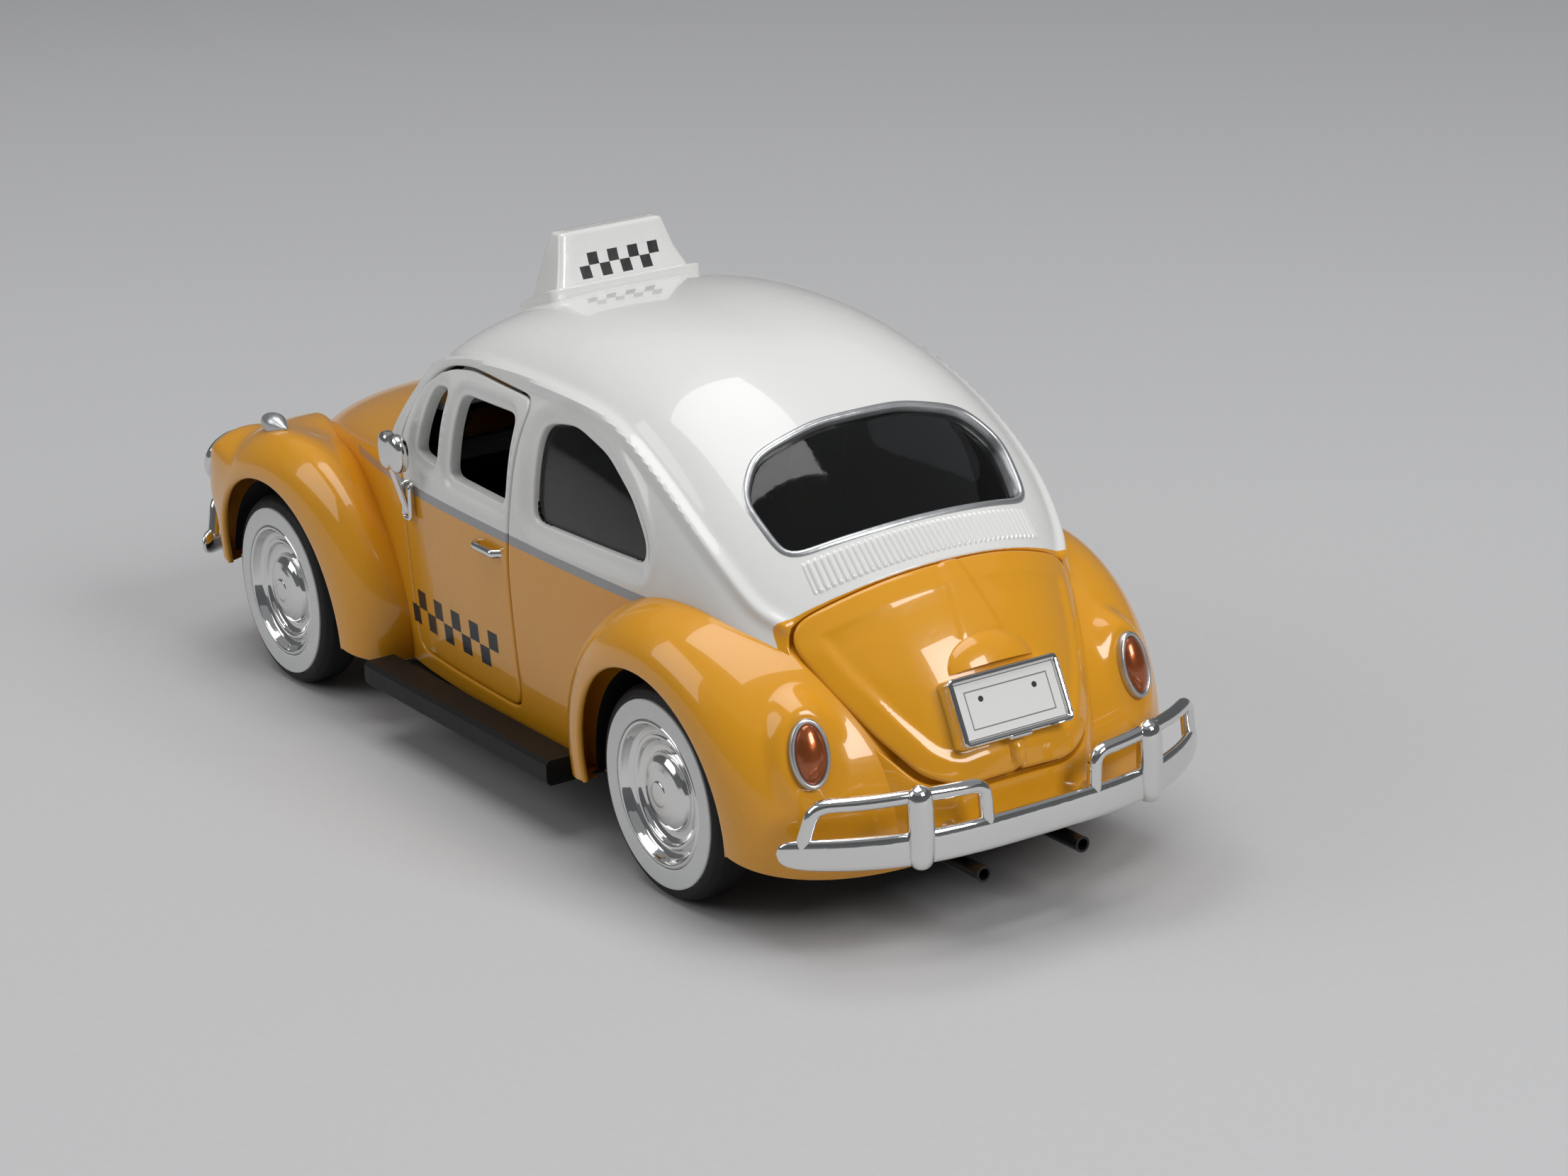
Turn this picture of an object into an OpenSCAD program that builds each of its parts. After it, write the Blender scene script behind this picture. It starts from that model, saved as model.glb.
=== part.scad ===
// Toy taxi: a small die-cast saloon with a roof sign, opening doors, an opening
// engine lid and two free-rolling axles. Millimetres, +X forward, +Y left, +Z up,
// ground at z = 0, origin under the middle of the overall box.

/* [Overall] */
// Distance between the two axles
wheelbase = 100; // [96:1:106]
// From the rear axle to the back of the rear bumper
rear_overhang = 38.5; // [37:0.5:42]
// From the front axle to the front of the front bumper
front_overhang = 30.8; // [30:0.1:34]
// Height of the roof above the ground
roof_h = 63.3; // [61:0.1:67]
// Width of the cabin at the shoulder
cabin_w = 52.6; // [51:0.1:54]
// How far each fender stands out past the cabin's side
fender_flare = 5.7; // [5.2:0.1:7.2]

/* [Body casting] */
// Wall of the cast shell
shell_t = 1.2; // [0.9:0.1:1.5]
// Radius of the wheel arch lips
arch_r = 16.4; // [16.2:0.1:17.5]
// How far the body side tucks in at the sill
sill_tuck = 1.2; // [0.8:0.1:1.6]
// Gap round each door
door_gap = 0.4; // [0.35:0.05:0.6]
// Gap round the engine lid
lid_gap = 0.7; // [0.6:0.05:0.9]
// How far the engine lid stands proud of the tail
lid_raise = 0.4; // [0.2:0.1:0.6]
// Wall of the engine lid
lid_t = 0.8; // [0.7:0.1:1]

/* [Windows] */
// Thickness of the clear panes
pane_t = 0.8; // [0.6:0.1:1]
// How far a pane laps behind its opening
pane_lap = 1.1; // [0.8:0.1:1.5]
// Gap between a pane and the shell
pane_gap = 0.12; // [0.05:0.01:0.2]

/* [Wheels] */
// Diameter of a tyre
tyre_d = 26.7; // [26:0.1:28]
// Width of a tyre
tyre_w = 6.2; // [5.6:0.1:6.6]
// Outer diameter of the white ring on a tyre
whitewall_outer_d = 23.4; // [22.6:0.1:24]
// Inner diameter of the white ring, where the bright wheel begins
whitewall_inner_d = 18.4; // [17.8:0.1:19]
// Diameter of the hub cap
hubcap_d = 9.8; // [9:0.1:11]
// Diameter of an axle
axle_d = 2; // [1.8:0.1:2.4]
// How far the outer tyre faces sit inside the fenders
tyre_inset = 2.8; // [2.5:0.1:3.2]
// Radial running clearance of the axles
axle_play = 0.08; // [0.05:0.01:0.1]

/* [Hinges] */
// Diameter of the door hinge pins
door_pin_d = 0.9; // [0.8:0.05:1]
// Diameter of the engine lid hinge pin
lid_pin_d = 1.3; // [1.2:0.05:1.5]
// Radial running clearance of the hinge pins
hinge_play = 0.06; // [0.04:0.01:0.1]

/* [Base] */
// Thickness of the base plate
base_t = 1.6; // [1.4:0.1:2]
// Height of the base plate's underside above the ground
base_z = 7.6; // [7.2:0.1:7.8]
// Depth of the flat pad under the base plate
pad_t = 0.5; // [0.4:0.1:0.8]
// Length of the flat pad
pad_l = 60; // [50:1:64]
// Width of the flat pad
pad_w = 36; // [30:1:38]

/* [Fittings] */
// Height of the roof sign above the roof
sign_h = 8.6; // [7.6:0.1:9.6]
// Length of the roof sign's foot across the roof
sign_l = 22.4; // [20:0.1:24]
// Depth of the roof sign's foot along the roof
sign_d = 9.4; // [8.6:0.1:10]
// Height of the bumper blades
blade_h = 4; // [3.6:0.1:4.4]
// Diameter of the bumper rails
rail_d = 1.5; // [1.3:0.1:1.8]
// Height of a tail light rim
tail_light_h = 9.2; // [8.6:0.1:9.6]
// Width of a tail light rim
tail_light_w = 5.8; // [5.4:0.1:6.2]
// Diameter of a headlight rim
headlight_d = 9; // [8.4:0.1:9.4]
// Width of the number plate
plate_w = 14; // [13:0.1:15]
// Height of the number plate
plate_h = 6.6; // [6:0.1:7]

/* [Hidden] */
$fn = 48;

// Paint and materials
yellow = "#e89a1c";
white = "#f2f2ee";
black = "#161616";
chrome = "#d4d6d8";
clear_tint = "#8fa3ad80";
amber = "#b4552a";

// Overrun of every cut, and the sides of the small round corners
over = shell_t;
corner_fn = 12;

// Places along the car
overall_l = wheelbase + rear_overhang + front_overhang;
rear_axle_x = rear_overhang - overall_l / 2;
front_axle_x = rear_axle_x + wheelbase;
mid_x = (rear_axle_x + front_axle_x) / 2;
half_w = cabin_w / 2;
fender_w = cabin_w + 2 * fender_flare;
fender_y = fender_w / 2;
axle_z = tyre_d / 2;
// Shares of the wheelbase that the body reaches past each axle
tail_reach_share = 0.385;
nose_reach_share = 0.308;
half_share = 0.5;

// A share of the wheelbase from its middle; past the axles it follows the overhangs
function along(s) =
    s < -half_share ? rear_axle_x + (s + half_share) * rear_overhang / tail_reach_share :
    s > half_share ? front_axle_x + (s - half_share) * front_overhang / nose_reach_share :
    mid_x + s * wheelbase;

// Cross-sections of the body from tail to nose: place along the car, height of the
// crown, half width, height of the shoulder, squareness, rise of the sill over the base plate
hull_shares = [
    [-0.830, 0.190, 0.285, 0.171, 2.10, 0.021],
    [-0.829, 0.269, 0.335, 0.174, 2.10, 0.021],
    [-0.822, 0.355, 0.403, 0.179, 2.10, 0.016],
    [-0.798, 0.455, 0.510, 0.194, 2.10, 0.013],
    [-0.755, 0.559, 0.669, 0.237, 2.10, 0.005],
    [-0.700, 0.648, 0.783, 0.324, 2.10, 0.005],
    [-0.640, 0.727, 0.869, 0.458, 2.15, 0.005],
    [-0.575, 0.818, 0.936, 0.569, 2.25, 0.005],
    [-0.495, 0.910, 0.973, 0.613, 2.40, 0.005],
    [-0.390, 0.973, 0.993, 0.624, 2.65, 0.005],
    [-0.260, 1.000, 1.000, 0.624, 2.90, 0.005],
    [-0.120, 0.998, 1.000, 0.624, 3.00, 0.005],
    [0.000, 0.973, 0.992, 0.624, 3.10, 0.005],
    [0.085, 0.926, 0.981, 0.624, 3.30, 0.005],
    [0.135, 0.859, 0.966, 0.619, 3.80, 0.005],
    [0.190, 0.755, 0.947, 0.610, 3.80, 0.005],
    [0.230, 0.673, 0.924, 0.592, 3.00, 0.005],
    [0.290, 0.664, 0.890, 0.569, 2.60, 0.005],
    [0.380, 0.654, 0.821, 0.550, 2.40, 0.005],
    [0.490, 0.626, 0.722, 0.521, 2.35, 0.005],
    [0.600, 0.572, 0.620, 0.474, 2.30, 0.005],
    [0.690, 0.493, 0.510, 0.411, 2.30, 0.013],
    [0.745, 0.395, 0.400, 0.340, 2.30, 0.021],
    [0.765, 0.292, 0.304, 0.261, 2.30, 0.029]];
hull_rows = [for (r = hull_shares) [along(r[0]), r[1] * roof_h, r[2] * half_w, r[3] * roof_h,
    r[4], base_z + base_t + r[5] * roof_h]];
// Sections per row and points per quarter section; the hidden inner faces are coarser
hull_steps = 2;
inner_steps = 1;
section_steps = 10;
inner_section_steps = 6;
side_steps = 3;

// Fender sections round each wheel, from the front over the top: angle, crown radius,
// inner reach, outer reach, lip radius and squareness
rear_fender_shares = [
    [-9, 1.439, 0.875, 0.950, 1.000, 2.2],
    [14, 1.439, 0.875, 0.963, 1.000, 2.2],
    [40, 1.427, 0.855, 0.984, 1.000, 2.2],
    [70, 1.439, 0.818, 1.000, 1.000, 2.2],
    [95, 1.476, 0.760, 1.000, 1.000, 2.2],
    [120, 1.549, 0.646, 0.994, 1.000, 2.2],
    [145, 1.646, 0.551, 0.981, 1.000, 2.2],
    [168, 1.738, 0.456, 0.963, 1.000, 2.2],
    [188, 1.780, 0.419, 0.944, 1.000, 2.2]];
front_fender_shares = [
    [-10, 1.480, 0.456, 0.925, 0.985, 2.2],
    [15, 1.537, 0.476, 0.950, 0.985, 2.2],
    [38, 1.549, 0.533, 0.975, 0.990, 2.2],
    [62, 1.494, 0.628, 0.988, 1.000, 2.2],
    [88, 1.480, 0.703, 0.988, 1.024, 2.2],
    [115, 1.616, 0.760, 0.978, 1.061, 2.2],
    [140, 1.756, 0.798, 0.966, 1.085, 2.2],
    [165, 1.756, 0.837, 0.953, 1.122, 2.2],
    [188, 1.671, 0.855, 0.944, 1.200, 2.2]];
function fender_rows(shares) = [for (r = shares) [r[0], r[1] * arch_r, r[2] * half_w,
    r[3] * fender_y, r[4] * arch_r, r[5]]];
fender_steps = 2;
lip_steps = 5;

// Uniform cubic B-spline through a list of rows, carried straight on past both ends
function row_at(rows, i) =
    i < 0 ? 2 * rows[0] - rows[1] :
    i >= len(rows) ? 2 * rows[len(rows) - 1] - rows[len(rows) - 2] : rows[i];
function spline(rows, u) =
    let (i = min(floor(u), len(rows) - 2), t = u - i)
    (pow(1 - t, 3) * row_at(rows, i - 1) + (3 * pow(t, 3) - 6 * pow(t, 2) + 4) * row_at(rows, i)
    + (3 * t + 3 * pow(t, 2) - 3 * pow(t, 3) + 1) * row_at(rows, i + 1)
    + pow(t, 3) * row_at(rows, i + 2)) / 6;

// Row of the body's sections at a place along the car, found by halving
search_steps = 24;
function find_u(x, low, high, steps) =
    let (m = (low + high) / 2)
    steps == 0 ? m :
    spline(hull_rows, m)[0] < x ? find_u(x, m, high, steps - 1) : find_u(x, low, m, steps - 1);
function hull_row(x) = spline(hull_rows, find_u(x, 0, len(hull_rows) - 1, search_steps));
// Height of the body's skin above a point, and half width at a height, set in by d
function set_out(x, d) = mid_x + (x - mid_x) / (1 - 2 * d / overall_l);
function skin_z(x, y, d = 0) =
    let (r = hull_row(set_out(x, d)), n = r[4])
    r[3] + (r[1] - d - r[3]) * pow(1 - pow(min(1, abs(y) / (r[2] - d)), n), 1 / n);
function skin_y(x, z, d = 0) =
    let (r = hull_row(set_out(x, d)), n = r[4], s = (z - r[3]) / (r[1] - d - r[3]))
    s > 0 ? (r[2] - d) * pow(1 - pow(min(1, s), n), 1 / n) :
    r[2] - d - sill_tuck * pow((r[3] - z) / (r[3] - r[5]), 2);

// One closed body section, set in by d
function hull_loop(u, d, quarter) =
    let (r = spline(hull_rows, u), n = r[4], w = r[2] - d, h = r[1] - d - r[3],
        x = mid_x + (r[0] - mid_x) * (1 - 2 * d / overall_l), low = d > 0 ? -over : r[5],
        half = concat(
            [for (k = [0:side_steps - 1]) let (a = k / side_steps)
                [w - sill_tuck * pow(1 - a, 2), low + (r[3] - low) * a]],
            [for (k = [0:quarter]) let (a = 90 * k / quarter,
                q = pow(pow(cos(a), n) + pow(sin(a), n), 1 / n))
                [w * cos(a) / q, r[3] + h * sin(a) / q]]))
    concat([for (p = half) [x, p[0], p[1]]],
        [for (k = [len(half) - 2:-1:0]) [x, -half[k][0], half[k][1]]]);

// Closed skin through a row of closed loops
module skin(loops) {
    n = len(loops[0]);
    m = len(loops);
    polyhedron(
        points = [for (l = loops) for (p = l) p],
        faces = concat(
            [[for (j = [0:n - 1]) j]],
            [[for (j = [n - 1:-1:0]) (m - 1) * n + j]],
            [for (i = [0:m - 2]) for (j = [0:n - 1]) let (k = (j + 1) % n)
                [i * n + j, (i + 1) * n + j, (i + 1) * n + k]],
            [for (i = [0:m - 2]) for (j = [0:n - 1]) let (k = (j + 1) % n)
                [i * n + j, (i + 1) * n + k, i * n + k]]));
}
// The body's outer form, set in by d
module hull_form(d = 0, fine = false) {
    steps = d > 0 && !fine ? inner_steps : hull_steps;
    quarter = d > 0 && !fine ? inner_section_steps : section_steps;
    skin([for (k = [0:(len(hull_rows) - 1) * steps]) hull_loop(k / steps, d, quarter)]);
}
// One fender wall round the wheel at axle_x, left side, grown by g
module fender(shares, axle_x, g = 0) {
    rows = fender_rows(shares);
    skin([for (k = [0:(len(rows) - 1) * fender_steps])
        let (r = spline(rows, k / fender_steps), n = r[5],
            curve = [for (d = [-g, shell_t]) [for (j = [0:lip_steps])
                let (a = 90 * j / lip_steps, q = pow(pow(cos(a), n) + pow(sin(a), n), 1 / n))
                [r[2] + (r[3] - d - r[2]) * sin(a) / q, r[4] + (r[1] - d - r[4]) * cos(a) / q]]],
            loop = concat(curve[0], [for (j = [lip_steps:-1:0]) curve[1][j]]))
        [for (p = loop) [axle_x + p[1] * cos(r[0]), p[0], axle_z + p[1] * sin(r[0])]]]);
}
// Outline with round corners, made of wedges from its middle and grown by g
function middle(points) =
    [for (k = [0, 1]) [for (p = points) 1] * [for (p = points) p[k]] / len(points)];
function edge_normal(a, b, c) =
    let (n = [a[1] - b[1], b[0] - a[0]] / norm(b - a)) n * (c - a) > 0 ? n : -n;
module rounded(points, r, g = 0) {
    c = middle(points);
    m = len(points);
    inner = [for (i = [0:m - 1]) let (p = points[i], n1 = edge_normal(points[(i + m - 1) % m], p, c),
        n2 = edge_normal(p, points[(i + 1) % m], c)) p + (n1 + n2) * r / (1 + n1 * n2)];
    for (i = [0:len(points) - 1]) hull() {
        translate(c) circle(r + g, $fn = corner_fn);
        translate(inner[i]) circle(r + g, $fn = corner_fn);
        translate(inner[(i + 1) % len(points)]) circle(r + g, $fn = corner_fn);
    }
}
// Both sides of the car
module both() {
    children();
    mirror([0, 1, 0]) children();
}
// Side prism: the outline lies in x and z, and the prism runs out to the left
prism_in_share = 0.4;
module side_prism() {
    translate([0, fender_y, 0]) rotate([90, 0, 0])
        linear_extrude(fender_y - prism_in_share * half_w) children();
}
// Tail prism: the outline lies across the car and up a plane that leans with the tail
tail_lean = 45;
tail_start_share = 0.37;
module tail_prism() {
    translate([mid_x, 0, 0]) rotate([0, -tail_lean, 0]) rotate([0, 0, -90])
        translate([0, 0, tail_start_share * overall_l]) linear_extrude(overall_l) children();
}
// Windscreen prism, leaning the other way
screen_start_share = 0.21;
module screen_prism() {
    translate([mid_x, 0, 0]) rotate([0, tail_lean, 0]) rotate([0, 0, 90])
        translate([0, 0, screen_start_share * overall_l]) linear_extrude(overall_l) children();
}

// Outlines in shares: side outlines of the wheelbase and the roof's height
function side_outline(shares) = [for (p = shares) [along(p[0]), p[1] * roof_h]];
door_shares = [[0.190, 0.196], [-0.104, 0.192], [-0.105, 0.58], [-0.126, 0.75], [-0.154, 0.853],
    [0.000, 0.858], [0.060, 0.842], [0.103, 0.812], [0.140, 0.770], [0.186, 0.650], [0.190, 0.50]];
pane_shares = [[0.036, 0.804], [-0.088, 0.808], [-0.059, 0.628], [0.069, 0.632]];
vent_shares = [[0.153, 0.645], [0.107, 0.793], [0.082, 0.798], [0.113, 0.638]];
quarter_shares = [[-0.162, 0.628], [-0.180, 0.812], [-0.260, 0.826], [-0.335, 0.796],
    [-0.395, 0.738], [-0.430, 0.672], [-0.424, 0.640]];
door_corner_r = 2;
window_corner_r = 1.3;
// Tail and screen outlines: corners on the skin, across in shares of the cabin's half width and
// up in shares of the roof's height, laid onto the leaning plane of their prism
roof_peak_share = -0.26;
cowl_foot_share = 0.60;
function find_x(z, y, low, high, steps) =
    let (m = (low + high) / 2)
    steps == 0 ? m :
    skin_z(m, y) < z ? find_x(z, y, m, high, steps - 1) : find_x(z, y, low, m, steps - 1);
function tail_x(z, y = 0) =
    find_x(z, y, along(hull_shares[0][0]), along(roof_peak_share), search_steps);
function screen_x(z, y) = find_x(z, y, along(cowl_foot_share), along(roof_peak_share), search_steps);
function leaning_outline(shares, way) =
    let (half = [for (p = shares) let (y = p[0] * half_w, z = p[1] * roof_h,
        x = way > 0 ? tail_x(z, y) : screen_x(z, y))
        [y, way * (x - mid_x) * cos(tail_lean) + z * sin(tail_lean)]])
    concat(half, [for (k = [len(half) - 1:-1:0]) [-half[k][0], half[k][1]]]);
function tail_outline(shares) = leaning_outline(shares, 1);
function screen_outline(shares) = leaning_outline(shares, -1);
rear_window_shares = [[0.225, 0.868], [0.560, 0.831], [0.678, 0.775], [0.622, 0.693], [0.250, 0.719]];
lid_shares = [[0.300, 0.640], [0.742, 0.574], [0.768, 0.534], [0.708, 0.462], [0.620, 0.388],
    [0.488, 0.327], [0.290, 0.286]];
windscreen_shares = [[0.25, 0.878], [0.60, 0.857], [0.715, 0.770], [0.735, 0.697], [0.28, 0.697]];
glass_corner_r = 2;
lid_corner_r = 2.4;

// Wheel wells
well_gap = 2.2;
well_r = tyre_d / 2 + well_gap;
tyre_y = fender_y - tyre_inset - tyre_w;
well_in = tyre_y - well_gap;
between_wells = well_in - shell_t - pane_gap;
module wheel_well(axle_x) {
    translate([axle_x, well_in, axle_z]) rotate([-90, 0, 0])
        cylinder(r = well_r, h = fender_y, $fn = 40);
}
// Walls round the wells inside the body, slotted from below for the axles
axle_slot = axle_d + 2 * door_gap;
module wheel_cup(axle_x) {
    translate([axle_x, well_in - shell_t, axle_z]) rotate([-90, 0, 0])
        cylinder(r = well_r + shell_t, h = fender_y, $fn = 40);
}
module axle_slot(axle_x) {
    translate([axle_x, -half_w, axle_z]) rotate([-90, 0, 0]) cylinder(d = axle_slot, h = cabin_w);
    translate([axle_x - axle_slot / 2, -half_w, 0]) cube([axle_slot, cabin_w, axle_z]);
}

// Door hinges: upright pins just outside the skin at the doors' front edge
hinge_proud = 0.5;
hinge_knuckle_r = 0.95;
hinge_h = 3;
hinge_leaf_l = 3.4;
hinge_leaf_t = 0.9;
hinge_slack = 0.1;
hinge_height_shares = [0.27, 0.47];
hinge_x = along(door_shares[0][0]) + door_gap / 2;
hinge_y = skin_y(hinge_x, hull_row(hinge_x)[3]) + hinge_proud;
function hinge_z(k) = hinge_height_shares[k] * roof_h;
// Inner face of a leaf, let into the skin
function leaf_y(k) = skin_y(hinge_x, hinge_z(k)) - hinge_leaf_t / 2;
// Pocket for a leaf, ahead of the pin (way 1) or behind it (way -1)
module hinge_pocket(k, way) {
    s = hinge_slack;
    translate([way > 0 ? hinge_x - s : hinge_x - hinge_leaf_l - s, leaf_y(k) - s, hinge_z(k) - s])
        cube([hinge_leaf_l + 2 * s, fender_y, hinge_h + 2 * s]);
    translate([hinge_x, hinge_y, hinge_z(k) - s])
        cylinder(r = hinge_knuckle_r + s, h = hinge_h + 2 * s, $fn = 24);
}
module hinge_leaf(k, way) {
    web_h = hinge_h / 2 - hinge_slack / 2;
    web_z = way > 0 ? hinge_z(k) : hinge_z(k) + hinge_h - web_h;
    bare_l = hinge_knuckle_r + hinge_slack;
    translate([way > 0 ? hinge_x + bare_l : hinge_x - hinge_leaf_l, leaf_y(k), hinge_z(k)])
        cube([hinge_leaf_l - bare_l, hinge_leaf_t, hinge_h]);
    translate([way > 0 ? hinge_x : hinge_x - hinge_leaf_l, leaf_y(k), web_z])
        cube([hinge_leaf_l, hinge_leaf_t, web_h]);
    translate([hinge_x, hinge_y, web_z]) cylinder(r = hinge_knuckle_r, h = web_h);
}

// Engine lid hinge: a cross pin under the louvre panel, carried by two lugs
lid_axis_share = -0.647;
lid_axis_x = along(lid_axis_share);
lid_pin_depth = 3.7;
lid_axis_z = skin_z(lid_axis_x, 0) - lid_pin_depth;
lid_arm_y = 4.2;
lid_arm_t = 1.6;
lid_lug_t = 2;
lid_lug_r = 1.2;
lid_arm_back = 0.4;
lid_lug_y = lid_arm_y + lid_arm_t + door_gap + hinge_slack;
lid_arm_shares = [-0.735, -0.765];
lid_neck_drop_share = 0.158;
lid_seat = 0.3;
module lid_lugs() {
    intersection() {
        hull_form(shell_t / 2);
        both() hull() for (h = [0, lid_pin_depth]) translate([lid_axis_x - h, lid_lug_y, lid_axis_z + h])
            rotate([-90, 0, 0]) cylinder(r = lid_lug_r, h = lid_lug_t, $fn = 24);
    }
}
// Room in the shell for the arms' barrels
module lid_arm_relief() {
    both() translate([lid_axis_x, lid_arm_y - door_gap, lid_axis_z]) rotate([-90, 0, 0])
        cylinder(r = lid_lug_r + door_gap, h = lid_arm_t + 2 * door_gap, $fn = 24);
}
module lid_pin_hole() {
    translate([lid_axis_x, -half_w / 2, lid_axis_z]) rotate([-90, 0, 0])
        cylinder(d = lid_pin_d + 2 * hinge_play, h = half_w);
}

// Screw lugs in the corners of the shell
screw_shares = [[-0.66, 0.62], [0.60, 0.40]];
screw_d = 1.6;
screw_head_d = 3;
screw_head_h = 0.9;
screw_l = 6;
screw_play = 0.1;
lug_l = 6;
lug_h = 5;
function screw_place(s) = [along(s[0]), s[1] * half_w];
module screw_lugs() {
    intersection() {
        hull_form(shell_t / 2);
        both() for (s = screw_shares) let (p = screw_place(s))
            translate([p[0] - lug_l / 2, p[1] - lug_l / 2, base_z + base_t + pane_gap])
                cube([lug_l, half_w, lug_h]);
    }
}

// Lights: where they sit on the fenders and which way they look
function fender_point(shares, axle_x, angle_share, reach_share) =
    let (rows = fender_rows(shares), r = spline(rows, angle_share * (len(rows) - 1)), n = r[5],
        a = 90 * reach_share, q = pow(pow(cos(a), n) + pow(sin(a), n), 1 / n),
        rad = r[4] + (r[1] - r[4]) * cos(a) / q)
    [axle_x + rad * cos(r[0]), r[2] + (r[3] - r[2]) * sin(a) / q, axle_z + rad * sin(r[0])];
tail_light_place_shares = [0.81, 0.36];
tail_light_at = fender_point(rear_fender_shares, rear_axle_x, tail_light_place_shares[0],
    tail_light_place_shares[1]);
tail_light_pitch = 16;
tail_light_yaw = 14;
tail_light_proud = 0.3;
headlight_place_shares = [0.265, 0.47];
headlight_at = fender_point(front_fender_shares, front_axle_x, headlight_place_shares[0],
    headlight_place_shares[1]);
headlight_pitch = 24;
headlight_yaw = 4;
headlight_proud = 1.6;
turn_signal_place_shares = [0.47, 0.42];
turn_signal_at = fender_point(front_fender_shares, front_axle_x, turn_signal_place_shares[0],
    turn_signal_place_shares[1]);
// Turn a part that points up so that it looks back, or forward, from the left side
module at_tail_light() {
    translate(tail_light_at) rotate([0, 0, -tail_light_yaw]) rotate([0, -90 + tail_light_pitch, 0])
        translate([0, 0, tail_light_proud]) children();
}
module at_headlight() {
    translate(headlight_at) rotate([0, 0, headlight_yaw]) rotate([0, 90 - headlight_pitch, 0])
        translate([0, 0, headlight_proud]) children();
}
pod_depth = 5;
pod_wall = 0.5;
pod_foot = 1.4;
module tail_light_pod() {
    at_tail_light() hull() {
        translate([0, 0, -shell_t / 2]) linear_extrude(shell_t / 2)
            scale([tail_light_h + pod_wall, tail_light_w + pod_wall]) circle(d = 1, $fn = 28);
        translate([0, 0, -pod_depth]) linear_extrude(shell_t)
            scale([tail_light_h + pod_foot, tail_light_w + pod_foot]) circle(d = 1, $fn = 28);
    }
}
module headlight_pod() {
    at_headlight() hull() {
        translate([0, 0, -shell_t]) cylinder(d = headlight_d + pod_wall, h = shell_t, $fn = 32);
        translate([0, 0, -pod_depth]) cylinder(d = headlight_d + pod_foot, h = shell_t, $fn = 32);
    }
}

// The cast shell: cabin, bonnet, tail and four fenders
module body_shell() {
    color(yellow) difference() {
        union() {
            difference() {
                union() {
                    hull_form();
                    both() {
                        fender(rear_fender_shares, rear_axle_x);
                        fender(front_fender_shares, front_axle_x);
                        tail_light_pod();
                        headlight_pod();
                    }
                }
                hull_form(shell_t);
            }
            intersection() {
                hull_form();
                both() {
                    wheel_cup(rear_axle_x);
                    wheel_cup(front_axle_x);
                }
            }
            lid_lugs();
            screw_lugs();
        }
        for (x = [rear_axle_x, front_axle_x]) {
            both() wheel_well(x);
            axle_slot(x);
        }
        both() {
            side_prism() rounded(side_outline(door_shares), door_corner_r, door_gap);
            side_prism() rounded(side_outline(quarter_shares), window_corner_r);
            for (k = [0, 1]) hinge_pocket(k, 1);
            for (s = screw_shares) translate(concat(screw_place(s), 0))
                cylinder(d = screw_d + screw_play, h = base_z + base_t + lug_h, $fn = 24);
        }
        tail_prism() rounded(tail_outline(rear_window_shares), glass_corner_r);
        tail_prism() rounded(tail_outline(lid_shares), lid_corner_r, lid_gap);
        screen_prism() rounded(screen_outline(windscreen_shares), glass_corner_r);
        lid_pin_hole();
        lid_arm_relief();
        intersection() {
            stay_holes();
            for (side = [-1, 1]) translate([side * overall_l / 2, 0, 0])
                cube([stay_reach, fender_w, roof_h], center = true);
        }
    }
}

// Clear panes, lapped behind their openings
module pane_form() {
    difference() {
        hull_form(shell_t + pane_gap);
        hull_form(shell_t + pane_gap + pane_t);
    }
}
module windscreen() {
    color(clear_tint) intersection() {
        pane_form();
        screen_prism() rounded(screen_outline(windscreen_shares), glass_corner_r, pane_lap);
    }
}
module rear_window() {
    color(clear_tint) intersection() {
        pane_form();
        tail_prism() rounded(tail_outline(rear_window_shares), glass_corner_r, pane_lap);
    }
}
module quarter_pane() {
    intersection() {
        pane_form();
        union() {
            side_prism() rounded(side_outline(quarter_shares), window_corner_r, pane_lap);
            side_prism() rounded(side_outline(quarter_shares), window_corner_r);
        }
    }
}
module quarter_window_left() { color(clear_tint) quarter_pane(); }
module quarter_window_right() { color(clear_tint) mirror([0, 1, 0]) quarter_pane(); }

// Doors: the same skin, cut from the same outline
module door_panel() {
    difference() {
        intersection() {
            difference() {
                hull_form();
                hull_form(shell_t);
            }
            side_prism() rounded(side_outline(door_shares), door_corner_r);
        }
        side_prism() rounded(side_outline(pane_shares), window_corner_r);
        side_prism() rounded(side_outline(vent_shares), window_corner_r);
        for (k = [0, 1]) hinge_pocket(k, -1);
    }
}
module door_left() { color(yellow) door_panel(); }
module door_right() { color(yellow) mirror([0, 1, 0]) door_panel(); }
module hinge_posts() {
    for (k = [0, 1]) {
        hinge_leaf(k, 1);
        translate([hinge_x, hinge_y, hinge_z(k)]) cylinder(d = door_pin_d, h = hinge_h);
    }
}
module door_hinge_posts_left() { color(yellow) hinge_posts(); }
module door_hinge_posts_right() { color(yellow) mirror([0, 1, 0]) hinge_posts(); }
module hinge_leaves() {
    for (k = [0, 1]) difference() {
        hinge_leaf(k, -1);
        translate([hinge_x, hinge_y, hinge_z(k) - over])
            cylinder(d = door_pin_d + 2 * hinge_play, h = hinge_h + 2 * over);
    }
}
module door_hinges_left() { color(yellow) hinge_leaves(); }
module door_hinges_right() { color(yellow) mirror([0, 1, 0]) hinge_leaves(); }

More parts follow.
